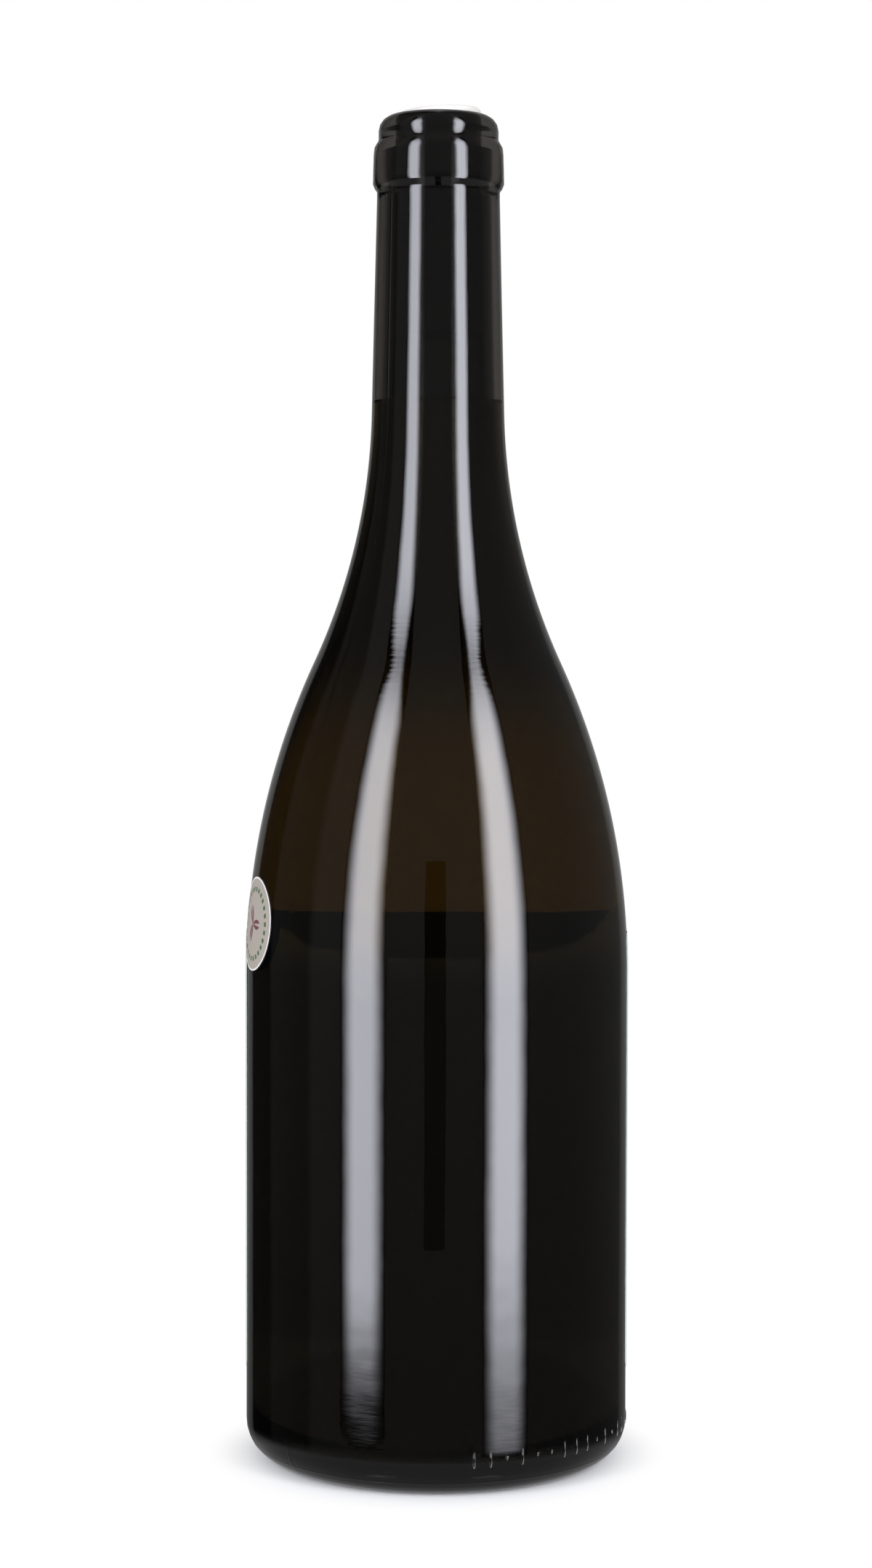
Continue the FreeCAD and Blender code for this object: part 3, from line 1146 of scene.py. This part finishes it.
@dataclass
class Stopper:
    """The stopper: follows the bore, stands a little proud, with a tilted bevelled top."""

    profiles: Profiles
    length: float = 49.0 * MM
    proud: float = 1.0 * MM
    tilt: float = math.radians(3.5)
    bevel: float = 0.75 * MM
    dish: float = 0.12 * MM
    slack: float = 0.03 * MM
    foot_round: float = 0.5 * MM
    head: float = 3.0 * MM
    columns: int = 128

    def build(self, material: bpy.types.Material) -> None:
        """Add the stopper; its head, the last stretch under the top, leans.

        Args:
            material: the stopper's finish.
        """
        s = self.profiles.sizes
        top = s.brim + self.proud
        foot = top - self.length
        head_foot = s.brim - self.head
        edge = s.bore_mouth_radius - self.slack
        low = float(np.interp(foot, (s.brim - s.bore_seat_depth, s.brim),
                              (s.bore_low_radius, edge))) - self.slack
        inner, knee, bend = low - self.foot_round, foot + self.foot_round, top - self.bevel
        outline = chain(
            line_points((0.0, foot), (inner, foot), 1.0 * MM),
            arc_points((inner, knee), self.foot_round, -math.pi / 2.0, 0.0, 0.1 * MM),
            line_points((low, knee), (edge, head_foot), 1.0 * MM),
            line_points((edge, head_foot), (edge, bend), 0.3 * MM),
            arc_points((edge - self.bevel, bend), self.bevel, 0.0, math.pi / 2.0, 0.08 * MM),
            self.dished_top(edge - self.bevel, top))
        mesh = turned_mesh("stopper", outline, even_turn(self.columns))
        self.lean(mesh, head_foot, top)
        add_piece("stopper", mesh, material, Slot.STOPPER, "cork")

    def dished_top(self, rim: float, top: float) -> np.ndarray:
        """The top face, dished by depth * (1 - (r / rim)^2)."""
        reach = np.linspace(rim, 0.0, 24)
        return np.column_stack((reach, top - self.dish * (1.0 - (reach / rim) ** 2)))

    def lean(self, mesh: bpy.types.Mesh, low: float, top: float) -> None:
        """Lean the head: raise each point by x * tan(tilt), fading to nothing below it.

        Args:
            mesh: the stopper, changed in place.
            low: height where the lean starts.
            top: height where it is full.
        """
        place = np.empty(len(mesh.vertices) * 3, dtype=np.float32)
        mesh.vertices.foreach_get("co", place)
        grid = place.reshape(-1, 3)
        share = np.clip((grid[:, 2] - low) / (top - low), 0.0, 1.0)
        grid[:, 2] += share * grid[:, 0] * math.tan(self.tilt)
        mesh.vertices.foreach_set("co", grid.ravel())
        mesh.update()


# --- paper ---------------------------------------------------------------------------------


def sheet_mesh(name: str, angle: np.ndarray, height: np.ndarray, inner: np.ndarray,
               outer: np.ndarray, across: np.ndarray, up: np.ndarray) -> bpy.types.Mesh:
    """A thin closed sheet round the bottle, from grids of the same shape.

    A point of either face is (r sin a, -r cos a, z), with r from inner or outer.

    Args:
        name: the mesh's name.
        angle: angle of each point, rising along columns.
        height: height of each point, rising along rows.
        inner: distance of the inner face from the axis.
        outer: distance of the outer face from the axis.
        across: the UV map's first value.
        up: the UV map's second value.

    Returns:
        The sheet, with a UV map.
    """
    layers = [np.stack((reach * np.sin(angle), -reach * np.cos(angle), height), axis=-1)
              for reach in (outer, inner)]
    points = np.concatenate([layer.reshape(-1, 3) for layer in layers])
    front = np.arange(angle.size).reshape(angle.shape)
    back = front + angle.size
    face = np.stack((front[:-1, :-1], front[:-1, 1:], front[1:, 1:], front[1:, :-1]), -1)
    rear = np.stack((back[:-1, :-1], back[1:, :-1], back[1:, 1:], back[:-1, 1:]), -1)
    rim = [edge_quads(front[0], back[0], True), edge_quads(front[-1], back[-1], False),
           edge_quads(front[:, 0], back[:, 0], False), edge_quads(front[:, -1], back[:, -1], True)]
    quads = np.concatenate([face.reshape(-1, 4), rear.reshape(-1, 4), *rim])
    mesh = fill_mesh(name, points, quads, np.empty((0, 3), dtype=int))
    flat = np.stack((np.tile(across.ravel(), 2), np.tile(up.ravel(), 2)), axis=-1)
    map_points(mesh, "sheet", flat)
    return mesh


def edge_quads(front: np.ndarray, back: np.ndarray, outward: bool) -> np.ndarray:
    """Quads that join a border of the front face to the same border of the back."""
    quads = np.stack((back[:-1], back[1:], front[1:], front[:-1]), axis=-1)
    return quads if outward else quads[:, ::-1]


def dress_paper(nodes: Nodes, shader: bpy.types.Node, paper: bpy.types.Node,
                colour: bpy.types.NodeSocket, depth: float) -> None:
    """Lay a print on fibrous paper: the fibres shade its colour and raise its face.

    Args:
        nodes: the material's node helper.
        shader: the material's shader.
        paper: the paper fibre group's node.
        colour: the print's colour.
        depth: the fibres' depth.
    """
    shade = nodes.add("ShaderNodeHueSaturation")
    nodes.link(paper.outputs["Shade"], shade.inputs["Value"])
    nodes.link(colour, shade.inputs["Color"])
    nodes.link(shade.outputs[0], shader.inputs["Base Color"])
    nodes.link(nodes.bump(paper.outputs["Height"], depth), shader.inputs["Normal"])
    shader.inputs["IOR"].default_value = PAPER_IOR


@dataclass(frozen=True)
class LabelFinish:
    """Uncoated pale grey-green paper with a plain printed frame and a lighter band.

    The print's sizes are in millimetres from the label's edge, or from its middle for the
    band, and each line or band is given by its middle and half its width.
    """

    paper: tuple[float, float, float] = (0.40, 0.44, 0.40)
    ink: tuple[float, float, float] = (0.16, 0.20, 0.18)
    light: tuple[float, float, float] = (0.55, 0.58, 0.53)
    half_size: tuple[float, float] = (73.0, 48.0)
    outer_line: tuple[float, float] = (5.0, 0.35)
    inner_line: tuple[float, float] = (6.6, 0.15)
    light_band: tuple[float, float] = (-18.0, 7.0)
    roughness: float = 0.72
    fibre_scale: float = 2400.0
    cloud_scale: float = 45.0
    fibre_depth: float = 0.02 * MM

    def build(self, fibre: bpy.types.NodeTree) -> bpy.types.Material:
        """Make the material: a thin double frame and a lighter band, on fibrous paper.

        Args:
            fibre: the paper fibre group.

        Returns:
            The material.
        """
        material, nodes, shader = new_material("label_stock")
        place = object_place(nodes)
        uv = nodes.add("ShaderNodeUVMap", uv_map="sheet")
        split = nodes.add("ShaderNodeSeparateXYZ")
        nodes.link(uv.outputs[0], split.inputs[0])
        side, end = (nodes.math("MULTIPLY", nodes.math("SUBTRACT", 1.0,
                                                       nodes.math("ABSOLUTE", socket)), half)
                     for socket, half in zip(split.outputs, self.half_size))
        margin = nodes.math("MINIMUM", side, end)
        frame_lines = nodes.math("MAXIMUM", self.band(nodes, margin, *self.outer_line),
                                 self.band(nodes, margin, *self.inner_line))
        height = nodes.math("MULTIPLY", split.outputs[1], self.half_size[1])
        stripe = self.band(nodes, height, *self.light_band)
        inside = nodes.math("GREATER_THAN", margin, self.inner_line[0])
        colour = nodes.mix(nodes.math("MULTIPLY", stripe, inside), self.paper, self.light)
        colour = nodes.mix(frame_lines, colour, self.ink)
        paper = use_group(nodes, fibre, place, Fibre_Scale=self.fibre_scale,
                          Cloud_Scale=self.cloud_scale)
        dress_paper(nodes, shader, paper, colour, self.fibre_depth)
        shader.inputs["Roughness"].default_value = self.roughness
        return material

    @staticmethod
    def band(nodes: Nodes, value: bpy.types.NodeSocket, middle: float,
             half: float) -> bpy.types.NodeSocket:
        """1 where the value lies within half of the middle, else 0."""
        away = nodes.math("ABSOLUTE", nodes.math("SUBTRACT", value, middle))
        return nodes.math("LESS_THAN", away, half)


@dataclass
class Label:
    """The label that wraps round the back, following the start of the shoulder."""

    profiles: Profiles
    foot: float = 20.0 * MM
    height: float = 96.4 * MM
    wrap: float = math.radians(199.0)
    gap: float = 0.03 * MM
    thickness: float = 0.07 * MM
    corner: float = 1.5 * MM
    columns: int = 260
    rows: int = 60

    def edge_angle(self) -> float:
        """Angle of the label's edge on the +X side."""
        return math.pi - self.wrap / 2.0

    def build(self, material: bpy.types.Material) -> None:
        """Add the label: an even grid whose corners are rounded by moving rows inwards.

        A row's ends move in by c - sqrt(c^2 - d^2), with c the corner's radius and d how
        far the row lies inside the corner.

        Args:
            material: the label's paper.
        """
        radius = self.profiles.sizes.body_radius
        across = np.linspace(-1.0, 1.0, self.columns)[None, :]
        up = np.linspace(-1.0, 1.0, self.rows)[:, None]
        half = self.wrap / 2.0
        from_end = (1.0 - np.abs(up)) * self.height / 2.0
        cut = np.clip(self.corner - from_end, 0.0, None)
        pull = self.corner - np.sqrt(np.maximum(self.corner ** 2 - cut ** 2, 0.0))
        angle = math.pi + across * (half - pull / radius)
        height = self.foot + self.height * (up + 1.0) / 2.0 + 0.0 * across
        inner = self.profiles.radius_at(height) + self.gap
        mesh = sheet_mesh("label_sheet", angle, height, inner, inner + self.thickness,
                          across + 0.0 * up, up + 0.0 * across)
        add_piece("label_sheet", mesh, material, Slot.LABEL, "label")


@dataclass(frozen=True)
class StickerFinish:
    """Matt beige paper with a dotted ring, three leaves and a white cut edge.

    Distances from the middle are shares of the sticker's radius.
    """

    paper: tuple[float, float, float] = (0.31, 0.28, 0.24)
    edge: tuple[float, float, float] = (0.66, 0.65, 0.64)
    green: tuple[float, float, float] = (0.05, 0.11, 0.045)
    plum: tuple[float, float, float] = (0.13, 0.045, 0.055)
    ring: tuple[float, float] = (0.74, 0.05)
    ticks: float = 26.0
    tick_level: float = -0.1
    leaf_reach: float = 0.44
    leaf_narrowness: float = 2.5
    vein_level: float = 0.992
    edge_start: float = 0.965
    roughness: float = 0.62
    fibre_scale: float = 3000.0
    cloud_scale: float = 150.0
    fibre_depth: float = 0.015 * MM

    def build(self, fibre: bpy.types.NodeTree) -> bpy.types.Material:
        """Make the material: a dotted ring, three almond leaves and the pale edge.

        At an angle a, a leaf ends leaf_reach * |cos(1.5 a)|^leaf_narrowness out.

        Args:
            fibre: the paper fibre group.

        Returns:
            The material.
        """
        material, nodes, shader = new_material("sticker_stock")
        place = object_place(nodes)
        uv = nodes.add("ShaderNodeUVMap", uv_map="sheet")
        split = nodes.add("ShaderNodeSeparateXYZ")
        nodes.link(uv.outputs[0], split.inputs[0])
        x, y = split.outputs[0], split.outputs[1]
        reach = nodes.math("SQRT", nodes.math("ADD", nodes.math("MULTIPLY", x, x),
                                              nodes.math("MULTIPLY", y, y)))
        turn = nodes.math("ARCTAN2", y, x)
        ring = LabelFinish.band(nodes, reach, *self.ring)
        wave = nodes.math("SINE", nodes.math("MULTIPLY", turn, self.ticks))
        ticks = nodes.math("GREATER_THAN", wave, self.tick_level)
        colour = nodes.mix(nodes.math("MULTIPLY", ring, ticks), self.paper, self.green)
        petals = nodes.math("ABSOLUTE",
                            nodes.math("COSINE", nodes.math("MULTIPLY", turn, 1.5)))
        slim = nodes.math("POWER", petals, self.leaf_narrowness)
        leaf = nodes.math("LESS_THAN", reach, nodes.math("MULTIPLY", slim, self.leaf_reach))
        colour = nodes.mix(leaf, colour, self.plum)
        vein = nodes.math("MULTIPLY", leaf, nodes.math("GREATER_THAN", petals, self.vein_level))
        colour = nodes.mix(vein, colour, self.paper)
        rim = nodes.math("GREATER_THAN", reach, self.edge_start)
        colour = nodes.mix(rim, colour, self.edge)
        paper = use_group(nodes, fibre, place, Fibre_Scale=self.fibre_scale,
                          Cloud_Scale=self.cloud_scale)
        dress_paper(nodes, shader, paper, colour, self.fibre_depth)
        shader.inputs["Roughness"].default_value = self.roughness
        return material


@dataclass
class Sticker:
    """The round sticker, half on the glass and half on the label's corner."""

    profiles: Profiles
    label: Label
    radius: float = 10.2 * MM
    height: float = 118.9 * MM
    turn: float = math.radians(-72.6)
    thickness: float = 0.07 * MM
    step_width: float = 0.8 * MM
    points: int = 72

    def build(self, material: bpy.types.Material) -> None:
        """Add the sticker: a square grid drawn out to a disc and laid on the glass.

        The disc is x = u sqrt(1 - v^2 / 2), y = v sqrt(1 - u^2 / 2). Over the label it
        is lifted by the label's thickness, with a smooth step at the label's edges.

        Args:
            material: the sticker's paper.
        """
        even = np.linspace(-1.0, 1.0, self.points)
        u, v = np.meshgrid(even, even)
        x = u * np.sqrt(1.0 - v ** 2 / 2.0)
        y = v * np.sqrt(1.0 - u ** 2 / 2.0)
        height = self.height + self.radius * y
        base = self.profiles.radius_at(height)
        angle = self.turn + self.radius * x / base
        edge = -self.label.edge_angle()
        over_side = self.smooth((edge - angle) * base / self.step_width)
        top = self.label.foot + self.label.height
        over_top = self.smooth((top - height) / self.step_width)
        lift = self.label.thickness * over_side * over_top
        inner = base + self.label.gap + lift
        mesh = sheet_mesh("round_sticker", angle, height, inner, inner + self.thickness, x, y)
        add_piece("round_sticker", mesh, material, Slot.STICKER, "sticker")

    @staticmethod
    def smooth(value: np.ndarray) -> np.ndarray:
        """A smooth step from 0 at -1 to 1 at 0."""
        share = np.clip(value + 1.0, 0.0, 1.0)
        return share * share * (3.0 - 2.0 * share)


# --- the studio ----------------------------------------------------------------------------


@dataclass(frozen=True)
class Softbox:
    """A tall soft light, placed by its angle round the bottle from -Y towards +X.

    Its cloth fades towards its sides, its foot and its head, and narrows near the head.
    """

    name: str
    angle: float
    radiance: float
    foot_fade: tuple[float, float]
    width: float = 0.48
    distance: float = 0.95
    side_fade: float = 0.7
    dim_fade: tuple[float, float] = (-0.35, -0.02)
    head_fade: tuple[float, float] = (1.50, 0.68)
    pinch: tuple[float, float] = (0.85, 1.3)
    pinch_amount: float = 1.3
    dimmest: float = 0.75
    colour: tuple[float, float, float] = (0.955, 0.97, 1.07)

    def build(self) -> None:
        """Add the glowing card, upright and facing the axis."""
        away = np.array((math.sin(self.angle), -math.cos(self.angle), 0.0))
        beside = np.array((-away[1], away[0], 0.0))
        u, v = np.meshgrid((-1.0, 1.0), (self.foot_fade[0], self.head_fade[0]))
        points = (away * self.distance + u.ravel()[:, None] * beside * self.width / 2.0
                  + v.ravel()[:, None] * np.array((0.0, 0.0, 1.0)))
        mesh = fill_mesh(self.name, points, np.array([(0, 2, 3, 1)]),
                         np.empty((0, 3), dtype=int))
        map_points(mesh, "card", np.stack((u.ravel(), v.ravel()), axis=-1))
        mesh.materials.append(self.cloth())
        card = bpy.data.objects.new(self.name, mesh)
        card.visible_camera = False
        bpy.context.scene.collection.objects.link(card)

    def cloth(self) -> bpy.types.Material:
        """The glowing cloth: radiance times smooth falls at the sides, foot and head.

        Returns:
            The cloth's material.
        """
        material, nodes, shader = new_material(self.name)
        uv = nodes.add("ShaderNodeUVMap", uv_map="card")
        split = nodes.add("ShaderNodeSeparateXYZ")
        nodes.link(uv.outputs[0], split.inputs[0])
        height = split.outputs[1]
        pinch = nodes.math("MULTIPLY_ADD", GlassFinish.stretch(nodes, height, *self.pinch),
                           self.pinch_amount, 1.0)
        out = nodes.math("MULTIPLY", nodes.math("ABSOLUTE", split.outputs[0]), pinch)
        across = GlassFinish.stretch(nodes, out, 1.0, 1.0 - self.side_fade)
        foot = GlassFinish.stretch(nodes, height, *self.foot_fade)
        dim = nodes.math("MULTIPLY_ADD", GlassFinish.stretch(nodes, height, *self.dim_fade),
                         1.0 - self.dimmest, self.dimmest)
        head = GlassFinish.stretch(nodes, height, *self.head_fade)
        strength = nodes.math("MULTIPLY", across, self.radiance)
        for share in (foot, dim, head):
            strength = nodes.math("MULTIPLY", strength, share)
        glow = nodes.add("ShaderNodeEmission")
        glow.inputs["Color"].default_value = (*self.colour, 1.0)
        nodes.link(strength, glow.inputs["Strength"])
        material.node_tree.nodes.remove(shader)
        nodes.link(glow.outputs[0], material.node_tree.nodes["Material Output"].inputs[0])
        return material


@dataclass
class Studio:
    """Floor, softboxes, dark stand, world and camera.

    The world's tables give (degrees from -Y towards +X, grey) pairs.
    """

    eye_height: float = 182.0 * MM
    eye_distance: float = 690.0 * MM
    image_height_at_axis: float = 346.1 * MM
    pitch: float = math.radians(2.756)
    roll: float = math.radians(0.118)
    side_step: float = -0.28 * MM
    floor_radius: float = 6.0
    floor_grey: float = 0.95
    floor_fade: tuple[float, float] = (33.0 * MM, 52.0 * MM)
    cloth_grey: float = 0.01
    matt_roughness: float = 0.9
    fill_grey: float = 0.55
    dusk: float = 0.62
    dusk_ends: tuple[float, float] = (0.05, -0.33)
    low_colour: tuple[float, float, float] = (0.30, 0.30, 0.31)
    low_ends: tuple[float, float] = (-0.26, -0.42)
    mirrored: tuple[tuple[float, float], ...] = (
        (-180.0, 0.9), (-172.0, 0.45), (-160.0, 0.25), (-148.0, 0.2), (-146.0, 0.015),
        (-120.0, 0.015), (-116.0, 0.075), (-84.0, 0.075), (-79.0, 0.19), (-55.0, 0.19),
        (-30.0, 0.165), (40.0, 0.165), (80.0, 0.13), (110.0, 0.12), (144.0, 0.09),
        (148.0, 0.2), (160.0, 0.25), (172.0, 0.45), (180.0, 0.9))
    seen_through: tuple[tuple[float, float], ...] = (
        (-180.0, 1.0), (-168.0, 0.9), (-156.0, 0.5), (-145.0, 0.15), (-120.0, 0.06),
        (0.0, 0.12), (120.0, 0.06), (140.0, 0.1), (150.0, 0.35), (160.0, 1.0),
        (172.0, 1.0), (180.0, 1.0))
    stand_distance: float = 250.0 * MM
    stand_sides: tuple[float, float] = (-29.0 * MM, 21.0 * MM)
    stand_heights: tuple[float, float] = (12.0 * MM, 191.0 * MM)
    softboxes: tuple[Softbox, ...] = (
        Softbox("softbox_left", math.radians(-43.8), 9.9, (-0.228, -0.14),
                head_fade=(1.40, 0.70)),
        Softbox("softbox_right", math.radians(41.0), 11.4, (-0.285, -0.11)),
    )

    def build(self) -> None:
        """Set up everything that isn't part of the object."""
        self.build_floor()
        self.build_stand()
        self.build_world()
        self.build_camera()
        for softbox in self.softboxes:
            softbox.build()
        bpy.context.scene.view_settings.view_transform = "Standard"

    def build_camera(self) -> None:
        """The camera: level with the shoulder, looking slightly down."""
        data = bpy.data.cameras.new("camera")
        data.sensor_width = 36.0
        data.lens = data.sensor_width * self.eye_distance / self.image_height_at_axis
        data.clip_start = 0.01
        camera = bpy.data.objects.new("camera", data)
        camera.location = (self.side_step, -self.eye_distance, self.eye_height)
        turn = (Matrix.Rotation(math.pi / 2.0 - self.pitch, 3, "X")
                @ Matrix.Rotation(self.roll, 3, "Z"))
        camera.rotation_euler = turn.to_euler()
        bpy.context.scene.collection.objects.link(camera)
        bpy.context.scene.camera = camera

    def floor_material(self) -> bpy.types.Material:
        """Pale matt floor that fades to the white background away from the bottle.

        Returns:
            The floor's material.
        """
        material, nodes, shader = new_material("floor_card")
        shader.inputs["Base Color"].default_value = (*(self.floor_grey,) * 3, 1.0)
        shader.inputs["Roughness"].default_value = self.matt_roughness
        shader.inputs["Specular IOR Level"].default_value = 0.2
        white = nodes.add("ShaderNodeEmission")
        blend = nodes.add("ShaderNodeMixShader")
        reach = nodes.add("ShaderNodeVectorMath", operation="LENGTH")
        nodes.link(object_place(nodes), reach.inputs[0])
        fade = GlassFinish.stretch(nodes, reach.outputs["Value"], *self.floor_fade)
        nodes.link(fade, blend.inputs[0])
        nodes.link(shader.outputs[0], blend.inputs[1])
        nodes.link(white.outputs[0], blend.inputs[2])
        nodes.link(blend.outputs[0], material.node_tree.nodes["Material Output"].inputs[0])
        return material

    def build_floor(self) -> None:
        """A wide round floor that gloss and shadow rays pass through."""
        reach = np.geomspace(0.002, self.floor_radius, 40)
        angles = even_turn(96)
        x = reach[:, None] * np.sin(angles)
        y = -reach[:, None] * np.cos(angles)
        points = np.stack((x, y, 0.0 * x), axis=-1).reshape(-1, 3)
        number = np.arange(x.size).reshape(x.shape)
        beside = np.roll(number, -1, axis=1)
        quads = np.stack((number[:-1], number[1:], beside[1:], beside[:-1]), axis=-1)
        mesh = fill_mesh("floor", points, quads.reshape(-1, 4)[:, ::-1],
                         np.empty((0, 3), dtype=int))
        mesh.materials.append(self.floor_material())
        plane = bpy.data.objects.new("floor", mesh)
        plane.visible_glossy = False
        plane.visible_shadow = False
        bpy.context.scene.collection.objects.link(plane)

    def build_stand(self) -> None:
        """A narrow dark card in front of the bottle that only its gloss shows."""
        x, z = np.meshgrid(self.stand_sides, self.stand_heights)
        points = np.stack((x, np.full_like(x, -self.stand_distance), z), axis=-1).reshape(-1, 3)
        mesh = fill_mesh("stand", points, np.array([(0, 2, 3, 1)]), np.empty((0, 3), dtype=int))
        material, _, shader = new_material("stand_cloth")
        shader.inputs["Base Color"].default_value = (*(self.cloth_grey,) * 3, 1.0)
        shader.inputs["Roughness"].default_value = self.matt_roughness
        mesh.materials.append(material)
        card = bpy.data.objects.new("stand", mesh)
        for kind in ("camera", "diffuse", "transmission", "shadow"):
            setattr(card, f"visible_{kind}", False)
        bpy.context.scene.collection.objects.link(card)

    def build_world(self) -> None:
        """A white background, a lit backdrop behind the bottle and a dim room in front.

        What gloss and glass show depends on the direction's angle from -Y: a dim room at
        0, dark flanks, and the backdrop near 180 degrees. For gloss the room darkens
        downwards, and turns grey far below the horizon.
        """
        world = bpy.data.worlds.new("studio")
        world.use_nodes = True
        bpy.context.scene.world = world
        nodes = Nodes(world.node_tree)
        place = nodes.add("ShaderNodeTexCoord").outputs["Generated"]
        split = nodes.add("ShaderNodeSeparateXYZ")
        nodes.link(place, split.inputs[0])
        away = nodes.math("ARCTAN2", split.outputs[0],
                          nodes.math("MULTIPLY", split.outputs[1], -1.0))
        share = nodes.math("MULTIPLY_ADD", away, 0.5 / math.pi, 0.5)
        mirrored = nodes.ramp(share, self.stops(self.mirrored))
        rise = split.outputs[2]
        dusk = nodes.math("MULTIPLY", self.dusk,
                          GlassFinish.stretch(nodes, rise, *self.dusk_ends))
        mirrored = nodes.mix(dusk, mirrored, (0.0, 0.0, 0.0))
        low = GlassFinish.stretch(nodes, rise, *self.low_ends)
        mirrored = nodes.mix(low, mirrored, self.low_colour)
        path = nodes.add("ShaderNodeLightPath")
        colour = nodes.mix(path.outputs["Is Glossy Ray"], (self.fill_grey,) * 3, mirrored)
        colour = nodes.mix(path.outputs["Is Transmission Ray"], colour,
                           nodes.ramp(share, self.stops(self.seen_through)))
        colour = nodes.mix(path.outputs["Is Camera Ray"], colour, (1.0, 1.0, 1.0))
        nodes.link(colour, world.node_tree.nodes["Background"].inputs["Color"])

    @staticmethod
    def stops(room: tuple[tuple[float, float], ...]
              ) -> list[tuple[float, tuple[float, float, float]]]:
        """Turn (degrees from -180 to 180, grey) pairs into colour ramp stops."""
        return [((angle + 180.0) / 360.0, (grey, grey, grey)) for angle, grey in room]


def main() -> None:
    """Build the bottle's pieces round the frame, then the studio."""
    logging.basicConfig(level=logging.INFO, format="%(name)s: %(message)s")
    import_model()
    smudge = smudge_group()
    fibre = paper_group()
    profiles = Profiles()
    label = Label(profiles)
    Glass(profiles).build(GlassFinish().build(smudge))
    Wine(profiles).build(WineFinish().build())
    Stopper(profiles).build(StopperFinish().build(smudge))
    label.build(LabelFinish().build(fibre))
    Sticker(profiles, label).build(StickerFinish().build(fibre))
    Studio().build()
    bpy.context.view_layer.update()


if __name__ == "__main__":
    main()
